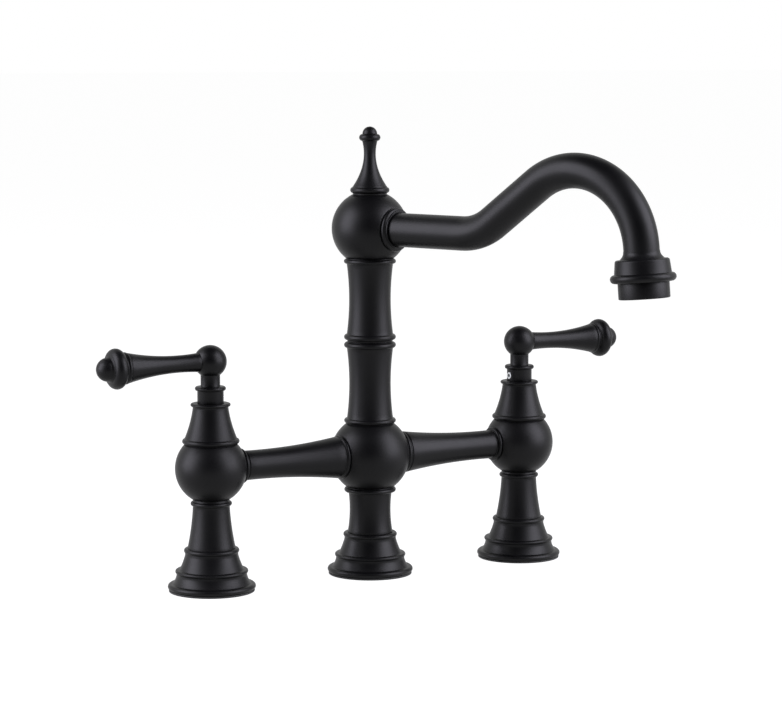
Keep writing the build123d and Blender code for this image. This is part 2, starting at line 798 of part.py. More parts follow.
screen_plane = Plane(origin=outlet_origin + outlet_down * insert_low, z_dir=outlet_down)
mesh_reach = insert_radius - screen_border
mesh_count = 2 * int(mesh_reach / screen_pitch) + 1
with BuildPart() as aerator_screen:
    with BuildSketch(screen_plane):
        Circle(insert_radius)
        with GridLocations(screen_pitch, screen_pitch, mesh_count, mesh_count) as grid:
            spots = [spot for spot in grid.local_locations if spot.position.length < mesh_reach]
        with Locations(*spots):
            Rectangle(screen_hole, screen_hole, mode=Mode.SUBTRACT)
    extrude(amount=screen_thickness)
save(aerator_screen, "aerator_screen")


# ---------------------------------------------------------------- cartridges and bonnets
# Heights of the stack, from the chamber's floor up.
seal_top = chamber_floor + seat_seal_thickness
fixed_disc_top = seal_top + fixed_disc_thickness
moving_disc_top = fixed_disc_top + moving_disc_thickness
flange_top = moving_disc_top + spindle_flange_thickness
nose_low = chamber_floor + nose_standoff
nose_bore = nose_radius - nose_wall
disc_radius = nose_bore - disc_gap
hex_low = bonnet_seat
hex_high = hex_low + hex_height
gland_top = bonnet_top - bonnet_roof - spindle_clip_thickness - 2 * air_gap
clip_seat = gland_top + air_gap / 2
spindle_bore = spindle_radius + running_gap
spindle_oring_heights = [
    hex_high + spindle_oring_pitch,
    hex_high + 2 * spindle_oring_pitch,
]


def make_bonnet(name, x):
    """Trumpet cover screwed down over the cartridge."""
    plane = upright_plane(x)
    ring_low = bonnet_seat + bonnet_neck_height
    cone_low = ring_low + bonnet_ring_height
    flange_low = bonnet_top - bonnet_flange_height
    thread_low = gland_top - bonnet_thread_length
    with BuildPart() as bonnet:
        with BuildSketch(plane):
            band(0, bonnet_neck_radius, bonnet_seat, ring_low)
            bead(bonnet_ring_radius, ring_low, bonnet_ring_height)
            flank((bonnet_foot_radius, cone_low), (bonnet_top_radius, bonnet_groove_low), bonnet_hollow)
            band(0, bonnet_top_radius, bonnet_groove_low, flange_low)
            bead(bonnet_flange_radius, flange_low, bonnet_flange_height)
            with BuildLine():
                Polyline(
                    (0, bonnet_seat),
                    (bonnet_neck_radius - bonnet_wall, bonnet_seat),
                    (bonnet_neck_radius - bonnet_wall, hex_high + slip_gap),
                    (gland_radius + thread_gap, thread_low),
                    (gland_radius + thread_gap, bonnet_top - bonnet_roof),
                    (0, bonnet_top - bonnet_roof),
                    close=True,
                )
            make_face(mode=Mode.SUBTRACT)
            band(0, spindle_radius + slip_gap, bonnet_top - bonnet_roof, bonnet_top, Mode.SUBTRACT)
        turn(plane)
    save(bonnet, name)


def make_cartridge_housing(name, x):
    """Brass headwork: ported nose, mounting thread, hexagon and gland."""
    plane = upright_plane(x)
    thread_low = bonnet_seat - cartridge_thread_length
    window_low = fixed_disc_top + slip_gap
    with BuildPart() as housing:
        with BuildSketch(plane):
            band(0, nose_radius, nose_low, thread_low)
            band(0, cartridge_thread_radius, thread_low, hex_low)
            band(0, gland_radius, hex_high, gland_top)
            band(0, spindle_bore, flange_top, gland_top, Mode.SUBTRACT)
            band(0, nose_bore, nose_low, flange_top + disc_gap, Mode.SUBTRACT)
        turn(plane)
        with BuildSketch(Plane(origin=(x, 0, hex_low))):
            RegularPolygon(hex_across_flats / 2, 6, major_radius=False)
            Circle(spindle_bore, mode=Mode.SUBTRACT)
        extrude(amount=hex_height)
        with BuildSketch(Plane(origin=(x, 0, nose_low))):
            Rectangle(2 * nose_radius, lug_width + 2 * lug_gap)
        extrude(amount=fixed_disc_top - nose_low, mode=Mode.SUBTRACT)
        with BuildSketch(Plane(origin=(x, 0, window_low))):
            Rectangle(window_width, 2 * nose_radius)
        extrude(amount=moving_disc_top - window_low, mode=Mode.SUBTRACT)
    save(housing, name)


def make_seat_seal(name, x):
    """Rubber ring that presses the ceramic discs together."""
    with BuildPart() as seat_seal:
        with BuildSketch(Plane(origin=(x, 0, chamber_floor))):
            Circle(disc_radius)
            Circle(waterway_radius, mode=Mode.SUBTRACT)
        extrude(amount=seat_seal_thickness)
    save(seat_seal, name)


def cut_ports(first_angle):
    """Two opposite kidney-shaped ports in the open sketch."""
    for angle in (first_angle, first_angle + 180):
        SlotArc(
            CenterArc((0, 0), port_ring_radius, angle - port_arc / 2, port_arc),
            port_width,
            mode=Mode.SUBTRACT,
        )


def make_fixed_disc(name, x):
    """Ceramic disc held by two lugs in the nose, with its ports along X."""
    with BuildPart() as fixed_disc:
        with BuildSketch(Plane(origin=(x, 0, seal_top))):
            Circle(disc_radius)
            Rectangle(2 * (nose_radius - slip_gap), lug_width)
            cut_ports(0)
        extrude(amount=fixed_disc_thickness)
    save(fixed_disc, name)


def make_moving_disc(name, x):
    """Ceramic disc that turns with the spindle. Its ports lie along Y, so that it starts closed."""
    with BuildPart() as moving_disc:
        with BuildSketch(Plane(origin=(x, 0, fixed_disc_top))):
            Circle(disc_radius)
            cut_ports(90)
        extrude(amount=moving_disc_thickness)
        with BuildSketch(Plane(origin=(x, 0, moving_disc_top))):
            Rectangle(2 * disc_radius, dog_width)
        extrude(amount=-dog_height - dog_gap, mode=Mode.SUBTRACT)
    save(moving_disc, name)


def serrations(tip_radius):
    """Toothed outline of the spindle's head in the open sketch, with four even corners to a tooth."""
    root_radius = tip_radius - spline_depth
    tooth = [root_radius, root_radius, tip_radius, tip_radius]
    step = radians(360 / (spline_teeth * len(tooth)))
    outline = [
        (radius * cos(corner * step), radius * sin(corner * step))
        for corner, radius in enumerate(tooth * spline_teeth)
    ]
    Polygon(*outline, align=None)


def make_spindle(name, x):
    """Valve stem: dog, thrust flange, journal, screw seat and serrated head."""
    plane = upright_plane(x)
    grub_height = handle_foot + grub_rise
    spline_low = grub_height + grub_radius + slip_gap
    spline_high = spline_low + spline_length
    with BuildPart() as spindle:
        with BuildSketch(plane):
            band(0, disc_radius - disc_gap, moving_disc_top, flange_top)
            band(0, spindle_radius, flange_top, spline_low)
            for height in spindle_oring_heights:
                band(
                    spindle_radius - spindle_oring_section - thread_gap,
                    spindle_radius,
                    height - spindle_oring_section / 2 - slip_gap,
                    height + spindle_oring_section / 2 + slip_gap,
                    Mode.SUBTRACT,
                )
            band(
                spindle_radius - spindle_clip_groove,
                spindle_radius,
                clip_seat,
                clip_seat + spindle_clip_thickness,
                Mode.SUBTRACT,
            )
            band(
                spindle_radius - grub_seat_depth,
                spindle_radius,
                grub_height - grub_radius - slip_gap,
                spline_low,
                Mode.SUBTRACT,
            )
        turn(plane)
        with BuildSketch(Plane(origin=(x, 0, moving_disc_top))):
            Rectangle(2 * (disc_radius - disc_gap), dog_width - 2 * dog_gap)
            Circle(disc_radius - disc_gap, mode=Mode.INTERSECT)
        extrude(amount=-dog_height)
        with BuildSketch(Plane(origin=(x, 0, spline_low))):
            serrations(spindle_radius)
        extrude(amount=spline_high - spline_low)
    save(spindle, name)


def make_spindle_orings(name, x):
    """Two rubber rings that seal the spindle in its gland."""
    plane = upright_plane(x)
    with BuildPart() as orings:
        with BuildSketch(plane):
            for height in spindle_oring_heights:
                ring_section(spindle_radius, spindle_oring_section, height)
        turn(plane)
    save(orings, name)


def make_face_oring(name, x):
    """Rubber ring squeezed under the cartridge's thread, in the mouth of the valve body."""
    plane = upright_plane(x)
    height = bonnet_seat - cartridge_thread_length - face_oring_section / 2
    with BuildPart() as face_oring:
        with BuildSketch(plane):
            ring_section(nose_radius + face_oring_section + thread_gap, face_oring_section, height)
        turn(plane)
    save(face_oring, name)


# ---------------------------------------------------------------- handles
def lever_plane(x, side):
    """Turning plane of a lever, from the handle's axis out."""
    droop = radians(lever_droop)
    direction = (side * cos(droop), 0, -sin(droop))
    return turning_plane((x, 0, handle_height), direction, (side * sin(droop), 0, cos(droop)))


def make_handle_hub(name, x, side):
    """Skirt, ring, neck and ball that sit on the spindle and hold the lever."""
    plane = upright_plane(x)
    ring_low = handle_foot + skirt_height
    ball_low = handle_height - cap_height(handle_ball_radius, handle_neck_radius)
    grub_height = handle_foot + grub_rise
    spline_low = grub_height + grub_radius + slip_gap
    lever_seat = cap_height(handle_ball_radius, lever_root_radius)
    outward = lever_plane(x, side).y_dir
    lever_flat = Plane(origin=Vector(x, 0, handle_height) + outward * lever_seat, z_dir=outward)
    grub_plane = Plane(origin=(x, 0, grub_height), x_dir=(0, 1, 0), z_dir=(-side, 0, 0))
    with BuildPart() as hub:
        with BuildSketch(plane):
            band(0, skirt_radius, handle_foot, ring_low)
            bead(handle_ring_radius, ring_low, handle_ring_height)
            band(0, handle_neck_radius, ring_low + handle_ring_height, ball_low)
            dome(handle_ball_radius, handle_height, ball_low)
            band(0, spindle_radius + slip_gap, handle_foot, spline_low, Mode.SUBTRACT)
        turn(plane)
        with BuildSketch(Plane(origin=(x, 0, spline_low))):
            serrations(spindle_radius + spline_gap)
        extrude(amount=spline_length + slip_gap, mode=Mode.SUBTRACT)
        split(bisect_by=lever_flat, keep=Keep.BOTTOM)
        with BuildSketch(lever_flat):
            Circle(lever_stud_radius + thread_gap)
        extrude(amount=-lever_stud_length - thread_gap, mode=Mode.SUBTRACT)
        with BuildSketch(grub_plane):
            Circle(grub_radius + thread_gap)
        extrude(amount=skirt_radius, mode=Mode.SUBTRACT)
    save(hub, name)


def make_lever(name, x, side):
    """Slim trumpet arm between the hub's ball and the knob."""
    plane = lever_plane(x, side)
    root = cap_height(handle_ball_radius, lever_root_radius)
    with BuildPart() as lever:
        with BuildSketch(plane):
            band(0, lever_stud_radius, root - lever_stud_length, root)
            flank((lever_root_radius, root), (lever_end_radius, lever_length), lever_hollow)
            band(
                0,
                lever_stud_radius + thread_gap,
                lever_length - lever_stud_length - thread_gap,
                lever_length,
                Mode.SUBTRACT,
            )
        turn(plane)
    save(lever, name)


def make_lever_knob(name, x, side):
    """Turned end of the lever: bead, disc, cove and domed tip."""
    plane = lever_plane(x, side)
    disc_low = lever_length + knob_disc_rise
    disc_high = disc_low + knob_disc_height
    cove_end = lever_length + knob_cove_rise
    shoulder_radius = knob_disc_radius - knob_disc_height / 2
    with BuildPart() as knob:
        with BuildSketch(plane):
            band(0, lever_stud_radius, lever_length - lever_stud_length, lever_length)
            bead(knob_bead_radius, lever_length, knob_bead_height)
            band(0, knob_neck_radius, lever_length + knob_bead_height, disc_low)
            bead(knob_disc_radius, disc_low, knob_disc_height)
            flank((shoulder_radius, disc_high), (knob_cove_radius, cove_end), knob_cove_hollow)
            dome(knob_cove_radius, cove_end, cove_end)
        turn(plane)
    save(knob, name)


def make_grub_screw(name, x, side):
    """Steel set screw opposite the lever, with a hexagon socket and a coned point."""
    outer = skirt_radius - grub_recess
    inner = spindle_radius - grub_seat_depth + thread_gap
    plane = sideways_plane(x, handle_foot + grub_rise, -side)
    mouth = Plane(origin=(x - side * outer, 0, handle_foot + grub_rise), z_dir=(-side, 0, 0))
    with BuildPart() as grub_screw:
        with BuildSketch(plane):
            band(0, grub_radius, inner + grub_radius / 2, outer)
            with BuildLine():
                Polyline(
                    (0, inner),
                    (grub_radius / 2, inner),
                    (grub_radius, inner + grub_radius / 2),
                    (0, inner + grub_radius / 2),
                    close=True,
                )
            make_face()
        turn(plane)
        with BuildSketch(mouth):
            RegularPolygon(grub_socket_across_flats / 2, 6, major_radius=False)
        extrude(amount=-grub_socket_depth, mode=Mode.SUBTRACT)
    save(grub_screw, name)


for place, side in sides.items():
    x = axes[place]
    make_bonnet(f"{place}_bonnet", x)
    make_cartridge_housing(f"{place}_cartridge_housing", x)
    make_face_oring(f"{place}_cartridge_oring", x)
    make_seat_seal(f"{place}_seat_seal", x)
    make_fixed_disc(f"{place}_fixed_disc", x)
    make_moving_disc(f"{place}_moving_disc", x)
    make_spindle(f"{place}_spindle", x)
    make_spindle_orings(f"{place}_spindle_orings", x)
    make_clip(
        f"{place}_spindle_clip",
        Plane(origin=(x, 0, clip_seat)),
        spindle_clip_radius,
        spindle_radius - spindle_clip_groove + thread_gap,
        spindle_clip_mouth,
        spindle_clip_thickness,
    )
    make_handle_hub(f"{place}_handle_hub", x, side)
    make_lever(f"{place}_lever", x, side)
    make_lever_knob(f"{place}_lever_knob", x, side)
    make_grub_screw(f"{place}_grub_screw", x, side)
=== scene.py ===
"""Looks of a bridge kitchen faucet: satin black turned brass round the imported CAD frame.

Every turned piece is made as on a lathe. Its half outline is drawn point by point and spun about
its axis, its sockets are bored, and its sharp edges are softened. Sizes are in millimetres.
"""

import logging
from dataclasses import dataclass
from enum import Enum
from math import acos, asin, cos, degrees, pi, radians, sin, sqrt, tan

import bpy
from mathutils import Matrix, Vector


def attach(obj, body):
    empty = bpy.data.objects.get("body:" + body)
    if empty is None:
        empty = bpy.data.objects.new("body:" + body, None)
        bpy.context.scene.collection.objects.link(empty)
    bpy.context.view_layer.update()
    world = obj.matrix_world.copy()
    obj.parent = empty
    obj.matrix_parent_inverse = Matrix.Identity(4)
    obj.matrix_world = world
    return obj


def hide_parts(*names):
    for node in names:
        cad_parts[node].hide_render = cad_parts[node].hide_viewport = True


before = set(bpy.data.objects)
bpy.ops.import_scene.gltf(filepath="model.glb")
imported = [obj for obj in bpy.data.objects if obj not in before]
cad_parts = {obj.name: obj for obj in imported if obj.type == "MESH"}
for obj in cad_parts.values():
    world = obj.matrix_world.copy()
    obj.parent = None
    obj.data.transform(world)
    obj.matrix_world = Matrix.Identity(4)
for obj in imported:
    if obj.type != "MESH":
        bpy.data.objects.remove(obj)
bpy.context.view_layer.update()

LOG = logging.getLogger("faucet")
Point = tuple[float, float]
Piece = bpy.types.Object
Tree = bpy.types.NodeTree
Socket = bpy.types.NodeSocket

MM = 0.001
UP = Vector((0, 0, 1))
OUT = Vector((1, 0, 0))  # from the centre column to the right valve
EDGE = 0.15  # width of a softened edge
FINE_EDGE = 0.12
BALL_EDGE = 0.1  # where a ball meets a bore at a slant
MERGE = 0.01  # points nearer than this are one
SHARP_ANGLE = 30.0  # edges sharper than this are softened
SMOOTH_ANGLE = 40.0  # and those still sharper than this are shaded as edges
ROUND = 96  # flats round a piece
SLIM_ROUND = 72  # flats round a slim piece
BEND_STEP = 2.5  # degrees of the tube's bends


# ---------------------------------------------------------------- names
class Slot(Enum):
    """Material slots of the record."""

    BLACK = "black_brass"
    BRASS = "bare_brass"
    STEEL = "stainless_steel"
    RUBBER = "seal_rubber"
    CERAMIC = "alumina_ceramic"
    ACETAL = "white_acetal"


class Body(Enum):
    """Bodies of the frame that the pieces ride on."""

    FIXED = "fixed_body"
    SPOUT = "spout"
    HOT = "hot_handle"
    COLD = "cold_handle"


SIDES = {"left": -1, "right": 1}
STILL = {"left": Body.FIXED, "right": Body.FIXED}
TURNING = {"left": Body.HOT, "right": Body.COLD}


# ---------------------------------------------------------------- nodes
def linear(code: str) -> tuple[float, float, float, float]:
    """Turns an sRGB hex colour to linear light.

    Args:
        code: Colour such as "#1a1b1e".

    Returns:
        Red, green, blue and a full alpha.
    """
    shares = [int(code[i : i + 2], 16) / 255 for i in (1, 3, 5)]
    return (*(s / 12.92 if s <= 0.04045 else ((s + 0.055) / 1.055) ** 2.4 for s in shares), 1.0)


def add_node(tree: Tree, kind: str, links: dict | None = None, **settings: object) -> bpy.types.Node:
    """Adds a node with its settings and links.

    Args:
        tree: Node tree that gets the node.
        kind: Node type.
        links: Input's name or number, to a value or to another node's output.
        **settings: Attributes of the node.

    Returns:
        The new node.
    """
    node = tree.nodes.new(kind)
    for name, value in settings.items():
        setattr(node, name, value)
    for name, value in (links or {}).items():
        if isinstance(value, Socket):
            tree.links.new(value, node.inputs[name])
        else:
            node.inputs[name].default_value = value
    return node


def new_material(name: str) -> bpy.types.Material:
    """Makes a material with nodes.

    Args:
        name: Name of the material.

    Returns:
        The material.
    """
    material = bpy.data.materials.new(name)
    material.use_nodes = True
    return material


# ---------------------------------------------------------------- finishes
PATCH_RANGE = (0.35, 0.65)  # noise in which one colour gives way to the other
CLOUD_RANGE = (0.6, 1.4)  # sum of two noises over which the gloss goes from end to end


@dataclass(frozen=True)
class Finish:
    """A surface of two close colours that drift into each other, with a fine grain in its height and gloss.

    Attributes:
        name: What the real surface is.
        dark: Deeper colour.
        light: Paler colour.
        drift: Width of the colour patches.
        gloss: Least and most roughness.
        grain: Width of the grain.
        relief: Height of the grain.
        metallic: 1 for bare metal.
        specular: Specular level. 0.5 is that of the refractive index alone.
        ior: Refractive index.
    """

    name: str
    dark: str
    light: str
    drift: float
    gloss: Point
    grain: float
    relief: float
    metallic: float = 0.0
    specular: float = 0.5
    ior: float = 1.5

    def noise(self, tree: Tree, place: Socket, width: float, detail: float) -> Socket:
        """Draws a noise.

        Args:
            tree: Node tree of the material.
            place: Object coordinates.
            width: Width of its patches.
            detail: Its finer octaves.

        Returns:
            The noise, about 0.5.
        """
        links = {"Vector": place, "Scale": 1 / (width * MM), "Detail": detail}
        return add_node(tree, "ShaderNodeTexNoise", links).outputs["Fac"]

    def height(self, tree: Tree, place: Socket) -> Socket:
        """Draws the grain.

        Args:
            tree: Node tree of the material.
            place: Object coordinates.

        Returns:
            Height of the grain, from 0 to 1.
        """
        return self.noise(tree, place, self.grain, detail=3.0)

    def build(self) -> bpy.types.Material:
        """Makes the material.

        Returns:
            The material.
        """
        material = new_material(self.name)
        tree = material.node_tree
        shader = tree.nodes["Principled BSDF"].inputs
        place = add_node(tree, "ShaderNodeTexCoord").outputs["Object"]
        patches = self.noise(tree, place, self.drift, detail=2.0)
        colour = add_node(tree, "ShaderNodeValToRGB", {"Fac": patches})
        for stop, share, code in zip(colour.color_ramp.elements, PATCH_RANGE, (self.dark, self.light)):
            stop.position, stop.color = share, linear(code)
        height = self.height(tree, place)
        cloud = add_node(tree, "ShaderNodeMath", {0: height, 1: patches}, operation="ADD").outputs["Value"]
        ends = dict(zip(("From Min", "From Max", "To Min", "To Max"), (*CLOUD_RANGE, *self.gloss)))
        gloss = add_node(tree, "ShaderNodeMapRange", {"Value": cloud, **ends})
        bump = add_node(tree, "ShaderNodeBump", {"Height": height, "Distance": self.relief * MM})
        tree.links.new(colour.outputs["Color"], shader["Base Color"])
        tree.links.new(gloss.outputs["Result"], shader["Roughness"])
        tree.links.new(bump.outputs["Normal"], shader["Normal"])
        shader["Metallic"].default_value = self.metallic
        shader["Specular IOR Level"].default_value = self.specular
        shader["IOR"].default_value = self.ior
        return material


@dataclass(frozen=True)
class TurnedFinish(Finish):
    """A machined surface, whose grain is the tool's feed marks round the upright axis."""

    def height(self, tree: Tree, place: Socket) -> Socket:
        """Draws the tool's marks as bands up the axis, a little uneven.

        Args:
            tree: Node tree of the material.
            place: Object coordinates.

        Returns:
            Height of the marks, from 0 to 1.
        """
        # The wave texture has one band in 2 pi / 20 units at scale 1.
        scale = 2 * pi / 20 / (self.grain * MM)
        links = {"Vector": place, "Scale": scale, "Distortion": 0.6, "Detail": 2.0}
        return add_node(tree, "ShaderNodeTexWave", links, bands_direction="Z").outputs["Fac"]


FINISHES = {
    # Satin black polymer coat on brass, sprayed and baked: near-black with a faint cool cast, broad soft
    # highlights, and the slight orange peel of a coat that flowed before it set, about half a millimetre wide.
    Slot.BLACK: Finish(
        "satin black coat", "#030304", "#060607", 22.0, (0.37, 0.47), 0.55, 0.004, specular=0.16
    ),
    # Free-cutting brass as it leaves the lathe: warm yellow metal with fine rings. The feed is 0.1 mm, drawn
    # at 0.25 mm so that it shows.
    Slot.BRASS: TurnedFinish(
        "turned brass", "#b08a48", "#c9a35c", 9.0, (0.22, 0.34), 0.25, 0.004, metallic=1.0
    ),
    # Stainless steel, ground: cool grey metal, bright where a face catches the light. Its lines, a few
    # hundredths of a millimetre apart, are drawn at 0.2 mm so that they show.
    Slot.STEEL: TurnedFinish(
        "ground steel", "#b4b6b8", "#d2d4d6", 4.0, (0.18, 0.3), 0.2, 0.003, metallic=1.0
    ),
    # Nitrile rubber, moulded: dull black with a dusty bloom and a fine matt grain from its mould.
    Slot.RUBBER: Finish(
        "moulded nitrile rubber", "#101010", "#1b1b1a", 5.0, (0.72, 0.86), 0.3, 0.012, ior=1.52
    ),
    # Alumina ceramic, fired and lapped: warm white, nearly mirror smooth, with a faint fired grain.
    Slot.CERAMIC: Finish("lapped alumina", "#e4dfd2", "#f1ede3", 3.0, (0.1, 0.2), 0.25, 0.002, ior=1.76),
    # Acetal, moulded: milky white plastic with a soft sheen and a fine spark-eroded grain.
    Slot.ACETAL: Finish("moulded acetal", "#dcdcd6", "#ebebe6", 8.0, (0.34, 0.46), 0.35, 0.006, ior=1.48),
}


# ---------------------------------------------------------------- turned work
def cap_height(ball: float, flat: float) -> float:
    """Returns the distance from a ball's centre to a flat of the given radius cut on it."""
    return sqrt(ball**2 - flat**2)


class Outline:
    """Half outline of a turned piece, as (radius, distance along its axis) points.

    It is drawn up the outside first. An outline that starts and ends on the axis gives a solid, and a closed
    one a ring.
    """

    LEAST = 0.1  # a point nearer than this to the one before is left out
    ARC_STEP = 15.0  # degrees of a bead or edge
    BALL_STEP = 5.0  # degrees of a ball
    COVE_STEPS = 6

    def __init__(self, radius: float, distance: float, *stops: float) -> None:
        """Starts the outline.

        Args:
            radius: Radius of its first point.
            distance: Distance of that point.
            *stops: Where it goes from there, as in steps.
        """
        self.points = [(radius, distance)]
        self.steps(*stops)

    def to(self, *points: Point) -> "Outline":
        """Goes straight on through points.

        Args:
            *points: Where it goes.

        Returns:
            The outline.
        """
        for point in points:
            last = self.points[-1]
            if max(abs(point[0] - last[0]), abs(point[1] - last[1])) > self.LEAST:
                self.points.append(point)
        return self

    def steps(self, *stops: float) -> "Outline":
        """Goes on at right angles.

        Args:
            *stops: A radius, then a distance, then a radius, and so on.

        Returns:
            The outline.
        """
        radius, distance = self.points[-1]
        for number, stop in enumerate(stops):
            radius, distance = (radius, stop) if number % 2 else (stop, distance)
            self.to((radius, distance))
        return self

    def arc(self, centre: Point, radius: float, first: float, last: float, step: float = ARC_STEP) -> "Outline":
        """Goes round an arc.

        Args:
            centre: Its centre.
            radius: Its radius.
            first: Angle of its start from straight out, in degrees.
            last: Angle of its end.
            step: About how many degrees each straight takes.

        Returns:
            The outline.
        """
        count = max(2, round(abs(last - first) / step))
        angles = [radians(first + (last - first) * i / count) for i in range(count + 1)]
        return self.to(*((centre[0] + radius * cos(a), centre[1] + radius * sin(a)) for a in angles))

    def bead(self, ring: Point, low: float, over: float = 0.0) -> "Outline":
        """Goes round a half-round ring.

        Args:
            ring: Radius at its nose, and its height.
            low: Distance at its near side.
            over: Radius of what follows it.

        Returns:
            The outline.
        """
        nose = ring[1] / 2
        shoulder = ring[0] - nose
        under = self.points[-1][0]
        first, last = (degrees(acos(max(0.0, r - shoulder) / nose)) for r in (under, over))
        return self.arc((shoulder, low + nose), nose, -first, last)

    def cove(self, radius: float, low: float, groove: Point) -> "Outline":
        """Goes through a round-bottomed groove.

        Args:
            radius: Radius that it is cut into.
            low: Distance at its near side.
            groove: Its depth and width.

        Returns:
            The outline.
        """
        depth, width = groove
        turns = [pi * i / self.COVE_STEPS for i in range(self.COVE_STEPS + 1)]
        return self.to(*((radius - depth * sin(t), low + width * (1 - cos(t)) / 2) for t in turns))

    def flank(self, side: Point, high: float, straights: int = 14) -> "Outline":
        """Goes up a hollowed side.

        Args:
            side: Radius at its top, and how far its middle lies inside the straight line.
            high: Distance at its top.
            straights: Straights that it has.

        Returns:
            The outline.
        """
        (foot, low), (radius, hollow) = self.points[-1], side
        shares = [i / straights for i in range(1, straights + 1)]
        return self.to(
            *((foot + (radius - foot) * s - 4 * hollow * s * (1 - s), low + (high - low) * s) for s in shares)
        )

    def ball(self, radius: float, centre: float, high: float) -> "Outline":
        """Goes round a ball about the axis, from the last point up.

        Args:
            radius: Its radius.
            centre: Distance at its centre.
            high: Distance where it ends.

        Returns:
            The outline.
        """
        heights = (self.points[-1][1], high)
        first, last = (degrees(asin(max(-1.0, min(1.0, (h - centre) / radius)))) for h in heights)
        return self.arc((0.0, centre), radius, first, last, self.BALL_STEP)

    def thread(self, radius: float, low: float, high: float, pitch: float, depth: float) -> "Outline":
        """Goes down a threaded bore, whose crests are drawn as rings.

        Args:
            radius: Radius of the crests, which are an eighth of the pitch wide.
            low: Distance at its mouth.
            high: Distance at its end, where it starts.
            pitch: Crest to crest.
            depth: Crest to root.

        Returns:
            The outline.
        """
        count = int((high - low) / pitch)
        for turn in range(count):
            top = high - turn * pitch
            self.to((radius, top), (radius, top - pitch / 8), (radius + depth, top - pitch / 2))
        return self.to((radius, high - count * pitch), (radius, low))


def select(piece: Piece) -> None:
    """Makes a piece the only selected one, and the active one.

    Args:
        piece: The piece.
    """
    bpy.ops.object.select_all(action="DESELECT")
    piece.select_set(True)
    bpy.context.view_layer.objects.active = piece


def close_mesh() -> None:
    """Merges the doubles of the mesh in edit mode and turns its faces outwards."""
    bpy.ops.mesh.select_all(action="SELECT")
    bpy.ops.mesh.remove_doubles(threshold=MERGE * MM)
    bpy.ops.mesh.normals_make_consistent(inside=False)


def apply_place() -> None:
    """Moves the place of the selected piece into its mesh."""
    bpy.ops.object.transform_apply(location=True, rotation=True, scale=True)


def turned(name: str, outline: Outline, edge: float = EDGE, flats: int = ROUND) -> Piece:
    """Turns a piece about +Z from its outline.

    Args:
        name: Name of the piece.
        outline: Its half outline.
        edge: Width of its softened edges, or 0 for none.
        flats: Flats round it.

    Returns:
        The piece.
    """
    bpy.ops.object.select_all(action="DESELECT")
    points = outline.points
    bpy.ops.mesh.primitive_plane_add(size=MM, location=(points[0][0] * MM, 0, points[0][1] * MM))
    piece = bpy.context.object
    piece.name = name
    bpy.ops.object.mode_set(mode="EDIT")
    bpy.ops.mesh.select_mode(type="VERT")
    bpy.ops.mesh.merge(type="CENTER")
    closing = points[1:] if max(points[0][0], points[-1][0]) == 0 else [*points[1:], points[0]]
    for (r, z), (last_r, last_z) in zip(closing, points):
        bpy.ops.mesh.extrude_region_move(
            TRANSFORM_OT_translate={"value": ((r - last_r) * MM, 0, (z - last_z) * MM)}
        )
    bpy.ops.mesh.select_all(action="SELECT")
    bpy.ops.mesh.spin(steps=flats, angle=2 * pi, center=(0, 0, 0), axis=(0, 0, 1))
    close_mesh()
    if edge:
        bpy.ops.mesh.select_mode(type="EDGE")
        bpy.ops.mesh.select_all(action="DESELECT")
        bpy.ops.mesh.edges_select_sharp(sharpness=radians(SHARP_ANGLE))
        bpy.ops.mesh.bevel(offset=edge * MM, segments=3, affect="EDGES", clamp_overlap=True)
    bpy.ops.object.mode_set(mode="OBJECT")
    apply_place()
    return piece


def cutter(outline: Outline, origin: Vector, direction: Vector, flats: int = ROUND) -> Piece:
    """Turns a tool that is cut out of a piece.

    Args:
        outline: Its half outline.
        origin: Where its axis starts.
        direction: Where its axis goes.
        flats: Flats round it.

    Returns:
        The tool.
    """
    return stand(turned("cutter", outline, edge=0, flats=flats), origin, direction)


def stand(piece: Piece, origin: Vector, direction: Vector = UP) -> Piece:
    """Stands a piece that was made about +Z in its place.

    Args:
        piece: The piece.
        origin: Where its axis starts.
        direction: Where its axis goes.

    Returns:
        The piece.
    """
    select(piece)
    piece.rotation_euler = UP.rotation_difference(direction).to_euler()
    piece.location = origin * MM
    apply_place()
    return piece


def swing(piece: Piece, angle: float) -> Piece:
    """Turns a piece about the centre column.

    Args:
        piece: The piece.
        angle: How far, in degrees.

    Returns:
        The piece.
    """
    select(piece)
    piece.rotation_euler = (0, 0, radians(angle))
    apply_place()
    return piece


def twin(piece: Piece, name: str) -> Piece:
    """Copies a piece, with a mesh of its own.

    Args:
        piece: The piece.
        name: Name of the copy.

    Returns:
        The copy.
    """
    select(piece)
    bpy.ops.object.duplicate(linked=False)
    copy = bpy.context.object
    copy.name = name
    return copy


def carve(piece: Piece, *tools: Piece) -> Piece:
    """Cuts tools out of a piece, and clears them away.

    Args:
        piece: The piece.
        *tools: What is cut out of it.

    Returns:
        The piece.
    """
    for tool in tools:
        select(piece)
        cut = piece.modifiers.new("socket", "BOOLEAN")
        cut.operation, cut.solver, cut.object = "DIFFERENCE", "EXACT", tool
        bpy.ops.object.modifier_apply(modifier=cut.name)
        bpy.data.objects.remove(tool)
    return piece


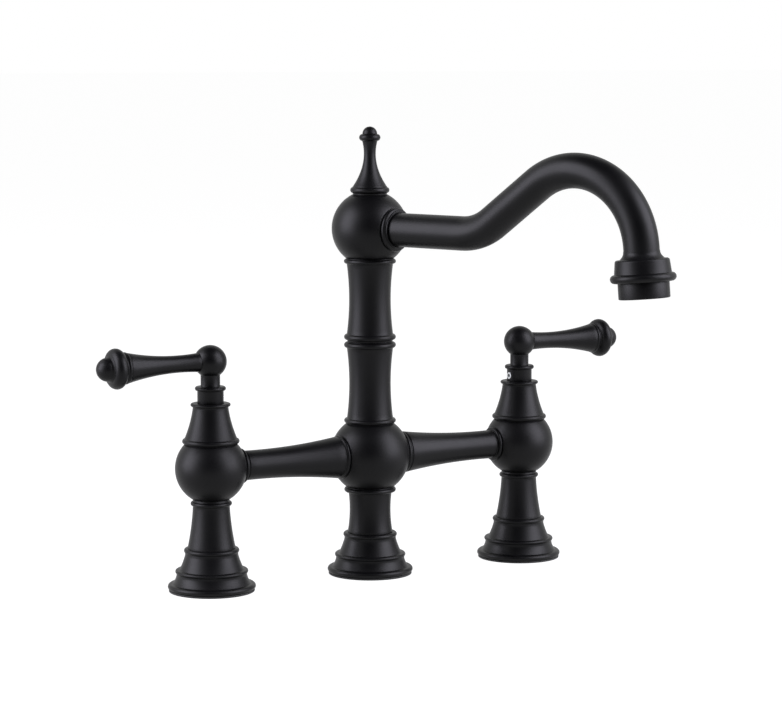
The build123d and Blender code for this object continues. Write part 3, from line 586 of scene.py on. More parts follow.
# ---------------------------------------------------------------- layout
@dataclass(frozen=True)
class Layout:
    """Places and fits that the sub-assemblies share. A pair of a stud is its radius and length."""

    valve_x: float = 101.6
    bridge_height: float = 68.7
    swivel_height: float = 134.2
    hub_height: float = 198.5
    spout_heading: float = -70.0
    valve_ball: float = 20.0
    centre_ball: float = 22.75
    hub_ball: float = 21.7
    leg_spigot: float = 11.4
    leg_foot: float = 24.1
    side_neck: float = 10.2
    side_stud: Point = (8.4, 7.2)
    bonnet_flat: float = 14.8
    bonnet_height: float = 23.1
    column_neck: float = 13.6
    column_ring: Point = (14.8, 2.7)
    ring_ledge: float = 0.35
    hub_stud: Point = (11.7, 188.15)  # radius and top
    waterway: float = 5.6
    tube: float = 9.55
    tube_wall: float = 1.5
    arm_stud: Point = (7.0, 4.128)
    spindle: float = 4.0
    thread_gap: float = 0.05
    slip_gap: float = 0.2
    air_gap: float = 0.35
    lip: float = 0.28  # how far a skirt reaches into the air gap

    @property
    def side_leg_top(self) -> float:
        """Top of a side leg, under its valve body."""
        return self.bridge_height - cap_height(self.valve_ball, self.side_neck)

    @property
    def bonnet_seat(self) -> float:
        """Top of a valve body, under its bonnet."""
        return self.bridge_height + cap_height(self.valve_ball, self.bonnet_flat)

    @property
    def bonnet_top(self) -> float:
        """Top of a bonnet."""
        return self.bonnet_seat + self.bonnet_height

    @property
    def handle_foot(self) -> float:
        """Lower edge of a handle's skirt."""
        return self.bonnet_top + self.air_gap

    @property
    def column_seats(self) -> Point:
        """Lower and upper seat of the centre body."""
        rise = cap_height(self.centre_ball, self.column_neck)
        return self.bridge_height - rise, self.bridge_height + rise

    @property
    def hub_seat(self) -> float:
        """Top of the upper column, under the hub."""
        return self.hub_height - cap_height(self.hub_ball, self.column_neck)

    def on_valve(self, height: float = 0.0) -> Vector:
        """Returns the point of the right valve's axis at a height."""
        return Vector((self.valve_x, 0, height))


LAYOUT = Layout()


@dataclass
class Assembly:
    """A group of pieces that is modelled and fitted to the frame together.

    Attributes:
        paints: Material of each slot.
    """

    paints: dict[Slot, bpy.types.Material]

    def fit(self, piece: Piece, node: str, body: Body = Body.FIXED, slot: Slot = Slot.BLACK) -> None:
        """Finishes a piece and puts it in the place of its CAD node.

        Args:
            piece: The piece.
            node: The CAD node that it stands for.
            body: The body that it rides on.
            slot: The slot that its finish comes from.
        """
        select(piece)
        bpy.ops.object.shade_smooth_by_angle(angle=radians(SMOOTH_ANGLE))
        piece.name = f"{node}_finished"
        piece.data.name = piece.name
        piece.data.materials.clear()
        piece.data.materials.append(self.paints[slot])
        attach(piece, body.value)
        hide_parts(node)
        LOG.info("%s: %d faces on %s", piece.name, len(piece.data.polygons), body.value)

    def fit_pair(
        self, right: Piece, node: str, bodies: dict[str, Body] = STILL, slot: Slot = Slot.BLACK
    ) -> None:
        """Fits the right-hand piece of a pair and its copy, half a turn round the centre column.

        Args:
            right: The right-hand piece.
            node: The CAD node's name without its side.
            bodies: Body of each side.
            slot: The slot that the finish comes from.
        """
        left = swing(twin(right, "left"), 180)
        self.fit(left, f"left_{node}", bodies["left"], slot)
        self.fit(right, f"right_{node}", bodies["right"], slot)


# In every sub-assembly a pair of sizes is a radius and a height or length, unless a comment says otherwise.
# The radius of a ring, bead or other rounded part is that at its nose. A flank's pair is the radius at its
# top, and how far its middle lies inside the straight line.


# ---------------------------------------------------------------- feet and legs
@dataclass
class Feet(Assembly):
    """Escutcheons with their seals, round the foot of each leg."""

    rim: Point = (24.5, 3.3)
    shoulder: float = 21.7
    step_flank: Point = (19.65, 0.3)
    step: Point = (20.3, 2.0)
    step_low: float = 10.1
    cone: float = 17.9
    collar_flank: Point = (14.8, 0.25)
    collar: Point = (15.4, 2.6)
    neck_height: float = 1.2
    wall: float = 2.4
    seal: float = 1.0
    seal_inset: float = 0.6
    seal_width: float = 3.6
    rib: Point = (1.6, 1.2)  # width and height

    @property
    def rib_in(self) -> float:
        """Inner radius of the seal's rib and of its groove."""
        return self.rim[0] - self.seal_inset - (self.seal_width + self.rib[0]) / 2

    def escutcheon(self) -> Piece:
        """Turns the stepped bell.

        Returns:
            The escutcheon of the centre leg.
        """
        seal, (wide, high), neck = self.seal, self.rib, self.step_flank[0]
        collar_low = LAYOUT.leg_foot - self.collar[1]
        roof = collar_low - self.neck_height
        outline = Outline(neck, seal, self.rib_in, seal + high, self.rib_in + wide, seal)
        outline.bead(self.rim, seal, self.shoulder).steps(self.shoulder, seal + self.rim[1])
        outline.flank(self.step_flank, self.step_low - self.neck_height).steps(neck, self.step_low)
        outline.bead(self.step, self.step_low).steps(self.cone)
        outline.flank(self.collar_flank, roof).steps(self.collar_flank[0], collar_low)
        outline.bead(self.collar, collar_low)
        outline.steps(LAYOUT.leg_spigot + LAYOUT.slip_gap, roof, self.collar_flank[0] - self.wall)
        return turned("escutcheon", outline)

    def foot_seal(self) -> Piece:
        """Turns the flat rubber ring with its rib.

        Returns:
            The seal of the centre leg.
        """
        seal, (wide, high), outer = self.seal, self.rib, self.rim[0] - self.seal_inset
        inner = outer - self.seal_width
        outline = Outline(inner, 0, outer, seal, self.rib_in + wide, seal + high, self.rib_in, seal, inner)
        return turned("foot_seal", outline, FINE_EDGE)

    def build(self) -> None:
        """Makes one foot and copies it to the three legs."""
        kinds = {"escutcheon": (self.escutcheon(), Slot.BLACK), "foot_seal": (self.foot_seal(), Slot.RUBBER)}
        for kind, (piece, slot) in kinds.items():
            for place, side in SIDES.items():
                copy = stand(twin(piece, place), OUT * side * LAYOUT.valve_x)
                self.fit(copy, f"{place}_{kind}", slot=slot)
            self.fit(piece, f"centre_{kind}", slot=slot)


@dataclass
class Legs(Assembly):
    """Two hollow side legs, and the solid centre leg."""

    inlet: Point = (9.32, 15.0)
    thread: Point = (1.81, 0.9)  # pitch and depth
    thread_ends: Point = (1.0, 1.5)  # plain bore below it and above
    side_foot: float = 13.4
    side_flank: Point = (10.25, 0.5)
    side_ring: Point = (11.5, 2.4)
    side_ledge: float = 1.1
    centre_foot: float = 12.9
    centre_flank: Point = (12.4, 0.9)
    centre_stud: Point = (9.0, 7.0)
    fixing_hole: Point = (4.25, 20.0)

    def side_leg(self) -> Piece:
        """Turns the right leg, with its threaded inlet.

        Returns:
            The leg.
        """
        top, (inlet, depth), (stud, length) = LAYOUT.side_leg_top, self.inlet, LAYOUT.side_stud
        ring_low = top - self.side_ledge - self.side_ring[1]
        outline = Outline(inlet, 0, LAYOUT.leg_spigot, LAYOUT.leg_foot, self.side_foot)
        outline.flank(self.side_flank, ring_low).bead(self.side_ring, ring_low)
        outline.steps(LAYOUT.side_neck, top, stud, top + length, LAYOUT.waterway, depth, inlet)
        outline.thread(inlet, self.thread_ends[0], depth - self.thread_ends[1], *self.thread)
        return stand(turned("leg", outline, FINE_EDGE), LAYOUT.on_valve())

    def centre_leg(self) -> Piece:
        """Turns the centre leg, with its blind fixing hole.

        Returns:
            The leg.
        """
        (hole, depth), (stud, length) = self.fixing_hole, self.centre_stud
        top, neck = LAYOUT.column_seats[0], LAYOUT.column_neck
        ring_low = top - LAYOUT.ring_ledge - LAYOUT.column_ring[1]
        outline = Outline(0, depth, hole, 0, LAYOUT.leg_spigot, LAYOUT.leg_foot, self.centre_foot)
        outline.flank(self.centre_flank, ring_low).bead(LAYOUT.column_ring, ring_low, neck)
        outline.steps(neck, top, stud, top + length, 0)
        return turned("centre_leg", outline)

    def build(self) -> None:
        """Makes and fits the legs."""
        self.fit_pair(self.side_leg(), "leg")
        self.fit(self.centre_leg(), "centre_leg")


# ---------------------------------------------------------------- bridge
@dataclass
class Bridge(Assembly):
    """Valve bodies, centre body and the arms between them."""

    chamber: float = 12.4
    floor: float = 3.0
    thread: Point = (10.45, 8.0)
    mixing: Point = (12.0, 21.0)
    column_bore: float = 9.65
    leg_socket: Point = (9.05, 7.05)
    break_in: float = 1.0  # how far an arm's waterway reaches into a chamber
    inner_bead: Point = (12.4, 2.2)
    outer_bead: Point = (9.9, 2.2)
    seam: float = 0.5  # how far below its nose a bead meets the ball
    groove: Point = (0.4, 1.2)  # depth and width
    arm_root: float = 11.8
    arm_flank: Point = (8.35, 1.2)

    @property
    def inner_seat(self) -> float:
        """Distance from the centre column to an arm's inner seat."""
        return cap_height(LAYOUT.centre_ball, self.inner_bead[0])

    @property
    def outer_seat(self) -> float:
        """Distance from the centre column to an arm's outer seat."""
        return LAYOUT.valve_x - cap_height(LAYOUT.valve_ball, self.outer_bead[0])

    def bore(self, body: Piece, side: int, seat: float, chamber: float) -> None:
        """Cuts a ball for an arm: the cap off its seat, the socket and the waterway.

        Args:
            body: The ball, about the centre column's axis.
            side: 1 for an arm that goes to the right, or -1.
            seat: Ball's centre to the seat.
            chamber: Radius of the ball's chamber.
        """
        socket, depth = (size + LAYOUT.thread_gap for size in LAYOUT.arm_stud)
        outline = Outline(0, chamber - self.break_in, LAYOUT.waterway, seat - depth, socket, seat)
        outline.steps(2 * socket, 2 * seat, 0)
        carve(body, cutter(outline, UP * LAYOUT.bridge_height, OUT * side))

    def valve_body(self) -> Piece:
        """Turns the right valve body and bores its arm's socket.

        Returns:
            The valve body.
        """
        low, high = LAYOUT.side_leg_top, LAYOUT.bonnet_seat
        socket, depth = (size + LAYOUT.thread_gap for size in LAYOUT.side_stud)
        outline = Outline(socket, low + depth, socket, low, LAYOUT.side_neck)
        outline.ball(LAYOUT.valve_ball, LAYOUT.bridge_height, high)
        outline.steps(self.thread[0], high - self.thread[1], self.chamber, low + depth + self.floor)
        outline.steps(LAYOUT.waterway, low + depth)
        body = turned("valve_body", outline, BALL_EDGE)
        self.bore(body, -1, LAYOUT.valve_x - self.outer_seat, self.chamber)
        return stand(body, LAYOUT.on_valve())

    def centre_body(self) -> Piece:
        """Turns the centre body and bores both arms' sockets.

        Returns:
            The centre body.
        """
        (low, high), (socket, depth), (mixing, room) = LAYOUT.column_seats, self.leg_socket, self.mixing
        outline = Outline(0, low + depth, socket, low, LAYOUT.column_neck)
        outline.ball(LAYOUT.centre_ball, LAYOUT.bridge_height, high)
        outline.steps(self.column_bore, LAYOUT.bridge_height + room / 2, mixing)
        outline.steps(mixing, LAYOUT.bridge_height - room / 2, 0)
        body = turned("centre_body", outline, BALL_EDGE)
        for side in SIDES.values():
            self.bore(body, side, self.inner_seat, mixing)
        return body

    def bridge_arm(self) -> Piece:
        """Turns the right arm.

        Returns:
            The arm.
        """
        (stud, length), wide = LAYOUT.arm_stud, self.groove[1]
        inner, outer, slim = self.inner_seat, self.outer_seat, self.arm_flank[0]
        bead_low = outer - self.outer_bead[1]
        outline = Outline(LAYOUT.waterway, inner - length, stud, inner, self.inner_bead[0] - self.seam)
        outline.bead(self.inner_bead, inner, self.arm_root)
        outline.cove(self.arm_root, inner + self.inner_bead[1], self.groove)
        outline.flank(self.arm_flank, bead_low - wide).cove(slim, bead_low - wide, self.groove)
        outline.bead(self.outer_bead, bead_low, self.outer_bead[0] - self.seam)
        outline.to((stud, outer)).steps(stud, outer + length, LAYOUT.waterway)
        return stand(turned("arm", outline), UP * LAYOUT.bridge_height, OUT)

    def build(self) -> None:
        """Makes and fits the bridge."""
        self.fit_pair(self.valve_body(), "valve_body")
        self.fit_pair(self.bridge_arm(), "bridge_arm")
        self.fit(self.centre_body(), "centre_body")


# ---------------------------------------------------------------- column, hub and spout
@dataclass
class Column(Assembly):
    """Lower and upper column, which meet at the swivel."""

    flank: Point = (13.2, 1.35)
    swivel_ring: Point = (14.8, 3.2)
    swivel_neck: Point = (12.9, 0.5)
    stud: Point = (9.6, 7.0)
    bore: float = 6.0
    spigot: Point = (9.0, 21.0)
    spigot_fit: float = 0.06
    washer: Point = (12.25, 1.7)
    shoulder_height: float = 23.5
    cavity: float = 10.3

    def lower(self) -> Piece:
        """Turns the lower column, with the recess of the glide washer.

        Returns:
            The lower column.
        """
        seat, top = LAYOUT.column_seats[1], LAYOUT.swivel_height
        (stud, length), (neck, neck_height) = self.stud, self.swivel_neck
        ring_low, swivel_low = seat + LAYOUT.ring_ledge, top - neck_height - self.swivel_ring[1]
        outline = Outline(self.bore, seat - length, stud, seat, LAYOUT.column_neck, ring_low)
        outline.bead(LAYOUT.column_ring, ring_low).steps(self.flank[0]).flank(self.flank, swivel_low)
        outline.bead(self.swivel_ring, swivel_low, neck).to((neck, top))
        outline.steps(self.washer[0], top + LAYOUT.air_gap - self.washer[1])
        outline.steps(self.spigot[0] + LAYOUT.thread_gap, top - self.spigot[1], self.bore)
        return turned("lower_column", outline)

    def upper(self) -> Piece:
        """Turns the upper column, with the bore of the spigot and the room of its clip.

        Returns:
            The upper column.
        """
        foot, seat = LAYOUT.swivel_height + LAYOUT.air_gap, LAYOUT.hub_seat
        ring_low, hub_ring = foot + self.swivel_neck[1], seat - LAYOUT.ring_ledge - LAYOUT.column_ring[1]
        bore, inside = self.spigot[0] + self.spigot_fit, self.washer[0] + LAYOUT.slip_gap
        outline = Outline(bore, foot, inside, foot - LAYOUT.lip, self.swivel_neck[0], ring_low)
        outline.bead(self.swivel_ring, ring_low).steps(self.flank[0]).flank(self.flank, hub_ring)
        outline.bead(LAYOUT.column_ring, hub_ring, LAYOUT.column_neck).steps(LAYOUT.column_neck, seat)
        outline.steps(*LAYOUT.hub_stud, self.cavity, LAYOUT.swivel_height + self.shoulder_height, bore)
        return turned("upper_column", outline)

    def build(self) -> None:
        """Makes and fits the column."""
        self.fit(self.lower(), "lower_column")
        self.fit(self.upper(), "upper_column", Body.SPOUT)


@dataclass
class Spout(Assembly):
    """Hub, finial, collar, bent tube, nozzle and aerator housing. It is made along +X and then swung."""

    chamber: float = 9.4
    chamber_roof: float = 2.6
    finial_flat: float = 10.2
    finial_stud: Point = (4.0, 7.0)
    finial_neck: Point = (9.7, 0.9)
    finial_ring: Point = (11.15, 3.4)
    finial_foot: float = 9.9
    spire_flank: Point = (4.3, 3.1)
    spire_height: float = 26.0
    finial_bead: Point = (6.05, 4.0)
    finial_ball: float = 4.2
    root_bead: Point = (12.4, 3.0)
    root_lip: Point = (10.9, 0.8)
    root_depth: float = 7.0
    reach: float = 188.4
    outlet_height: float = 169.6
    lean: float = 5.0
    first_run: float = 78.8
    climb: float = 36.1
    bends: Point = (36.0, 42.9)  # radius of each
    end_depth: float = 6.0
    nozzle: Point = (14.5, 7.6)
    nozzle_edge: float = 1.3
    cove_flank: Point = (12.0, 0.7)
    cove_length: float = 4.2
    nozzle_bead: Point = (17.5, 4.6)
    aerator: Point = (13.65, 8.6)
    aerator_thread: Point = (11.8, 3.6)
    aerator_washer: float = 1.0
    aerator_bore: float = 10.4
    aerator_lip: Point = (9.2, 2.0)
    aerator_edge: float = 0.6

    @property
    def finial_seat(self) -> float:
        """Height of the finial's foot on the hub."""
        return LAYOUT.hub_height + cap_height(LAYOUT.hub_ball, self.finial_flat)

    @property
    def root_seat(self) -> float:
        """Distance from the column's axis to the flat at the spout's root."""
        return cap_height(LAYOUT.hub_ball, self.root_bead[0])

    @property
    def outlet_axis(self) -> Vector:
        """Direction of the outlet."""
        return Vector((sin(radians(self.lean)), 0, -cos(radians(self.lean))))

    @property
    def shoulder(self) -> Vector:
        """Middle of the nozzle's shoulder."""
        stack = self.nozzle[1] + self.nozzle_bead[1] + self.aerator[1]
        return Vector((self.reach, 0, self.outlet_height)) - self.outlet_axis * stack

    def hub(self) -> Piece:
        """Turns the hub and bores the socket of the tube.

        Returns:
            The hub.
        """
        high, gap, (stud, length) = self.finial_seat, LAYOUT.thread_gap, self.finial_stud
        socket, socket_roof = (size + gap for size in LAYOUT.hub_stud)
        roof = high - length - self.chamber_roof
        outline = Outline(0, roof, self.chamber, socket_roof, socket, LAYOUT.hub_seat, LAYOUT.column_neck)
        outline.ball(LAYOUT.hub_ball, LAYOUT.hub_height, high).steps(stud + gap, high - length - gap, 0)
        seat, root, water = self.root_seat, LAYOUT.tube + gap, LAYOUT.tube - LAYOUT.tube_wall
        tool = Outline(0, 0, water, seat - self.root_depth - gap, root, seat, 2 * root, 2 * seat, 0)
        socket_cutter = cutter(tool, UP * LAYOUT.hub_height, OUT)
        return carve(turned("hub", outline, BALL_EDGE), socket_cutter)

    def finial(self) -> Piece:
        """Turns the finial: ring, spire, bead and ball.

        Returns:
            The finial.
        """
        seat, (stud, length), (neck, neck_height) = self.finial_seat, self.finial_stud, self.finial_neck
        ring_low = seat + neck_height
        bead_low = ring_low + self.finial_ring[1] + self.spire_height
        centre = bead_low + self.finial_bead[1]
        outline = Outline(0, seat - length, stud, seat, neck, ring_low)
        outline.bead(self.finial_ring, ring_low).steps(self.finial_foot)
        outline.flank(self.spire_flank, bead_low, straights=24).bead(self.finial_bead, bead_low)
        outline.steps(self.finial_ball).ball(self.finial_ball, centre, centre + self.finial_ball)
        return turned("finial", outline, flats=SLIM_ROUND)

    def collar(self) -> Piece:
        """Turns the bead and lip round the spout's root.

        Returns:
            The collar, along +X.
        """
        bore, seat, (lip, lip_height) = LAYOUT.tube + LAYOUT.thread_gap, self.root_seat, self.root_lip
        outline = Outline(bore, seat).bead(self.root_bead, seat)
        outline.steps(lip, seat + self.root_bead[1] + lip_height, bore)
        return stand(turned("collar", outline), UP * LAYOUT.hub_height, OUT)

    def tube(self) -> Piece:
        """Draws a ring along the first run, round the climbing bend, up, over the crown and down.

        Returns:
            The tube, along +X.
        """
        lean, climb = radians(self.lean), radians(self.climb)
        level = UP * LAYOUT.hub_height
        start, corner = (level + OUT * x for x in (self.root_seat - self.root_depth, self.first_run))
        end = self.shoulder + self.outlet_axis * self.end_depth
        rise = tan(climb)
        top = (LAYOUT.hub_height + (end.x + end.z * tan(lean) - self.first_run) * rise) / (1 + tan(lean) * rise)
        crown = Vector((end.x - (top - end.z) * tan(lean), 0, top))
        up, down = Vector((cos(climb), 0, sin(climb))), self.outlet_axis
        crown_angle = climb + pi / 2 - lean
        cuts = [self.bends[0] * tan(climb / 2), self.bends[1] * tan(crown_angle / 2)]
        runs = [
            OUT * ((corner - start).length - cuts[0]),
            up * ((crown - corner).length - cuts[0] - cuts[1]),
            down * ((end - crown).length - cuts[1]),
        ]
        above = corner - OUT * cuts[0] + UP * self.bends[0]
        below = crown - up * cuts[1] + Vector((sin(climb), 0, -cos(climb))) * self.bends[1]
        bpy.ops.object.select_all(action="DESELECT")
        bpy.ops.mesh.primitive_circle_add(
            vertices=ROUND, radius=LAYOUT.tube * MM, location=start * MM, rotation=(0, pi / 2, 0)
        )
        tube = bpy.context.object
        bpy.ops.object.mode_set(mode="EDIT")
        bpy.ops.mesh.select_mode(type="VERT")
        bpy.ops.mesh.select_all(action="SELECT")
        for run, bend in zip(runs, [(above, climb, 1), (below, crown_angle, -1), None]):
            bpy.ops.mesh.extrude_region_move(TRANSFORM_OT_translate={"value": run * MM})
            if bend:
                centre, angle, way = bend
                flats = round(degrees(angle) / BEND_STEP)
                bpy.ops.mesh.spin(steps=flats, angle=angle, center=centre * MM, axis=(0, way, 0))
        close_mesh()
        bpy.ops.object.mode_set(mode="OBJECT")
        wall = tube.modifiers.new("wall", "SOLIDIFY")
        wall.thickness, wall.offset = LAYOUT.tube_wall * MM, -1
        bpy.ops.object.modifier_apply(modifier=wall.name)
        apply_place()
        return tube

    def nozzle_collar(self) -> Piece:
        """Turns the nozzle's cove, shoulder and bead.

        Returns:
            The nozzle collar, where the tube along +X ends.
        """
        socket, water = LAYOUT.tube + LAYOUT.thread_gap, LAYOUT.tube - LAYOUT.tube_wall
        end, (thread, depth) = self.nozzle[1] + self.nozzle_bead[1], self.aerator_thread
        edge = (self.nozzle[0] - self.nozzle_edge, self.nozzle_edge)
        outline = Outline(socket, -self.cove_length, LAYOUT.tube + LAYOUT.slip_gap).flank(self.cove_flank, 0)
        outline.arc(edge, self.nozzle_edge, -90, 0).bead(self.nozzle_bead, self.nozzle[1])
        outline.steps(thread + LAYOUT.thread_gap, end - depth - self.aerator_washer, water, self.end_depth)
        return stand(turned("nozzle", outline.steps(socket)), self.shoulder, self.outlet_axis)

    def aerator_housing(self) -> Piece:
        """Turns the plain sleeve round the aerator.

        Returns:
            The housing, below the nozzle collar.
        """
        top, (thread, depth) = self.nozzle[1] + self.nozzle_bead[1], self.aerator_thread
        end, (lip, lip_depth) = top + self.aerator[1], self.aerator_lip
        edge = (self.aerator[0] - self.aerator_edge, end - self.aerator_edge)
        outline = Outline(self.aerator_bore, top - depth, thread, top, self.aerator[0])
        outline.arc(edge, self.aerator_edge, 0, 90, step=18).steps(lip, end - lip_depth, self.aerator_bore)
        return stand(turned("aerator", outline), self.shoulder, self.outlet_axis)

    def build(self) -> None:
        """Makes the pieces, swings them to the spout's heading and fits them."""
        makers = {
            "spout_hub": self.hub,
            "finial": self.finial,
            "spout_collar": self.collar,
            "spout_tube": self.tube,
            "nozzle_collar": self.nozzle_collar,
            "aerator_housing": self.aerator_housing,
        }
        for node, make in makers.items():
            self.fit(swing(make(), LAYOUT.spout_heading), node, Body.SPOUT)


# ---------------------------------------------------------------- valves and handles
@dataclass
class Bonnets(Assembly):
    """Trumpet covers over the cartridges."""

    neck: Point = (14.3, 0.5)
    ring: Point = (15.9, 2.8)
    foot: float = 14.6
    flank: Point = (9.9, 0.6)
    cone_height: float = 17.0
    flange: Point = (11.1, 1.8)
    wall: float = 1.6
    gland: Point = (7.65, 8.2)
    hexagon: float = 4.6

    def bonnet(self) -> Piece:
        """Turns the right bonnet.

        Returns:
            The bonnet.
        """
        seat, high, (neck, neck_height) = LAYOUT.bonnet_seat, LAYOUT.bonnet_top, self.neck
        ring_low, flange_low, inner = seat + neck_height, high - self.flange[1], neck - self.wall
        cone_low, (gland, room) = ring_low + self.ring[1], self.gland
        outline = Outline(inner, seat, neck, ring_low).bead(self.ring, ring_low, self.foot)
        outline.to((self.foot, cone_low)).flank(self.flank, cone_low + self.cone_height)
        outline.to((self.flank[0], flange_low)).bead(self.flange, flange_low)
        outline.steps(LAYOUT.spindle + LAYOUT.slip_gap, high - self.wall, gland, high - room)
        outline.to((inner, seat + self.hexagon))
        return stand(turned("bonnet", outline), LAYOUT.on_valve())

    def build(self) -> None:
        """Makes and fits the bonnets."""
        self.fit_pair(self.bonnet(), "bonnet")


@dataclass
class Handles(Assembly):
    """Handle hubs, levers, knobs and set screws."""

    skirt: Point = (7.3, 6.6)
    ring: Point = (8.6, 2.4)
    neck: float = 5.4
    ball: float = 9.15
    ball_rise: float = 22.75
    spline: Point = (4.06, 7.0)
    stud: Point = (2.6, 4.5)
    past_ball: float = 12.0  # where the cutters end
    screw: float = 2.0
    screw_rise: float = 2.9
    screw_ends: Point = (3.35, 7.3)  # from the handle's axis
    screw_socket: Point = (2.0, 1.8)  # across its flats, and its depth
    screw_flats: int = 48
    hole_flats: int = 32
    lever_root: float = 5.3
    lever_flank: Point = (8.4, 1.75)
    lever_length: float = 50.3
    droop: float = 0.8
    knob_bead: Point = (8.8, 2.4)
    knob_neck: float = 8.4
    knob_disc: Point = (11.2, 7.7)
    knob_disc_rise: float = 2.6
    knob_flank: Point = (6.6, 0.1)
    knob_tip_rise: float = 11.2

    @property
    def height(self) -> float:
        """Deck to the middle of the handle's ball."""
        return LAYOUT.handle_foot + self.ball_rise

    @property
    def screw_height(self) -> float:
        """Deck to the set screw's axis."""
        return LAYOUT.handle_foot + self.screw_rise

    @property
    def lever_seat(self) -> float:
        """Handle's axis to the lever's root."""
        return cap_height(self.ball, self.lever_root)

    @property
    def lever_axis(self) -> Vector:
        """Direction of the right lever, which droops a little."""
        return Vector((cos(radians(self.droop)), 0, -sin(radians(self.droop))))

    def hub(self) -> Piece:
        """Turns the skirt, ring, neck and ball, and bores the sockets of the lever and the set screw.

        Returns:
            The hub.
        """
        foot, gap, (skirt, skirt_height) = LAYOUT.handle_foot, LAYOUT.thread_gap, self.skirt
        (spline, depth), (stud, length) = self.spline, (size + gap for size in self.stud)
        ring_low, spline_low = foot + skirt_height, self.screw_height + self.screw + LAYOUT.slip_gap
        outline = Outline(0, spline_low + depth, spline, spline_low, LAYOUT.spindle + LAYOUT.slip_gap)
        outline.steps(LAYOUT.spindle + LAYOUT.slip_gap, foot - LAYOUT.lip, skirt, ring_low)
        outline.bead(self.ring, ring_low).steps(self.neck, self.height - cap_height(self.ball, self.neck))
        outline.ball(self.ball, self.height, self.height + self.ball)
        hub = stand(turned("hub", outline, flats=SLIM_ROUND), LAYOUT.on_valve())
        seat, past = self.lever_seat, self.past_ball
        tool = Outline(0, seat - length, stud, seat, past, past, 0)
        hole = Outline(0, 0, self.screw + gap, past, 0)
        return carve(
            hub,
            cutter(tool, LAYOUT.on_valve(self.height), self.lever_axis, SLIM_ROUND),
            cutter(hole, LAYOUT.on_valve(self.screw_height), -OUT, self.hole_flats),
        )

    def along_lever(self, outline: Outline) -> Piece:
        """Turns a piece and stands it along the right lever, from the handle's axis."""
        return stand(turned("lever", outline, flats=SLIM_ROUND), LAYOUT.on_valve(self.height), self.lever_axis)

    def lever(self) -> Piece:
        """Turns the slim trumpet of the lever.

        Returns:
            The lever.
        """
        root, end, gap, (stud, length) = self.lever_seat, self.lever_length, LAYOUT.thread_gap, self.stud
        outline = Outline(0, root - length, stud, root, self.lever_root)
        outline.flank(self.lever_flank, end, straights=20)
        return self.along_lever(outline.steps(stud + gap, end - length - gap, 0))

    def knob(self) -> Piece:
        """Turns the lever's end: bead, disc, cove and domed tip.

        Returns:
            The knob.
        """
        start, (stud, length), radius = self.lever_length, self.stud, self.knob_flank[0]
        disc_low, tip = start + self.knob_disc_rise, start + self.knob_tip_rise
        outline = Outline(0, start - length, stud, start, self.lever_flank[0])
        outline.bead(self.knob_bead, start, self.knob_neck).to((self.knob_neck, disc_low))
        outline.bead(self.knob_disc, disc_low).flank(self.knob_flank, tip, straights=4)
        return self.along_lever(outline.ball(radius, tip, tip + radius))

    def set_screw(self) -> Piece:
        """Turns the set screw and sinks its hexagon socket.

        Returns:
            The set screw.
        """
        (inner, outer), radius, (flats, depth) = self.screw_ends, self.screw, self.screw_socket
        outline = Outline(0, inner, radius / 2).to((radius, inner + radius / 2)).steps(radius, outer, 0)
        screw = turned("screw", outline, FINE_EDGE, self.screw_flats)
        bpy.ops.object.select_all(action="DESELECT")
        bpy.ops.mesh.primitive_circle_add(
            vertices=6, radius=flats / sqrt(3) * MM, fill_type="NGON", location=UP * (outer - depth) * MM
        )
        key = bpy.context.object
        bpy.ops.object.mode_set(mode="EDIT")
        bpy.ops.mesh.extrude_region_move(TRANSFORM_OT_translate={"value": UP * 2 * depth * MM})
        close_mesh()
        bpy.ops.object.mode_set(mode="OBJECT")
        return stand(carve(screw, key), LAYOUT.on_valve(self.screw_height), -OUT)

    def build(self) -> None:
        """Makes and fits both handles."""
        self.fit_pair(self.hub(), "handle_hub", TURNING)
        self.fit_pair(self.lever(), "lever", TURNING)
        self.fit_pair(self.knob(), "lever_knob", TURNING)
        self.fit_pair(self.set_screw(), "grub_screw", TURNING, Slot.STEEL)


# ---------------------------------------------------------------- inner pieces
def dress_inner(paints: dict[Slot, bpy.types.Material]) -> None:
    """Gives every CAD node the finish of its slot. Those inside stay as they are otherwise.

    Args:
        paints: Material of each slot.
    """
    kinds = {
        Slot.BRASS: ("cartridge_housing", "spindle", "swivel_spigot"),
        Slot.STEEL: ("clip", "screen", "grub_screw"),
        Slot.RUBBER: ("oring", "orings", "seat_seal", "foot_seal", "aerator_washer"),
        Slot.CERAMIC: ("disc",),
        Slot.ACETAL: ("glide_washer", "insert"),
    }
    for name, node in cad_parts.items():
        slot = next((s for s, ends in kinds.items() if name.endswith(ends)), Slot.BLACK)
        node.data.materials.clear()
        node.data.materials.append(paints[slot])
        LOG.info("%s: %s", name, slot.value)


# ---------------------------------------------------------------- studio
def toward(azimuth: float, elevation: float) -> Vector:
    """Returns the direction from the object to a place at two angles in degrees. 0 is straight in front."""
    turn, rise = radians(azimuth), radians(elevation)
    return Vector((sin(turn) * cos(rise), -cos(turn) * cos(rise), sin(rise)))


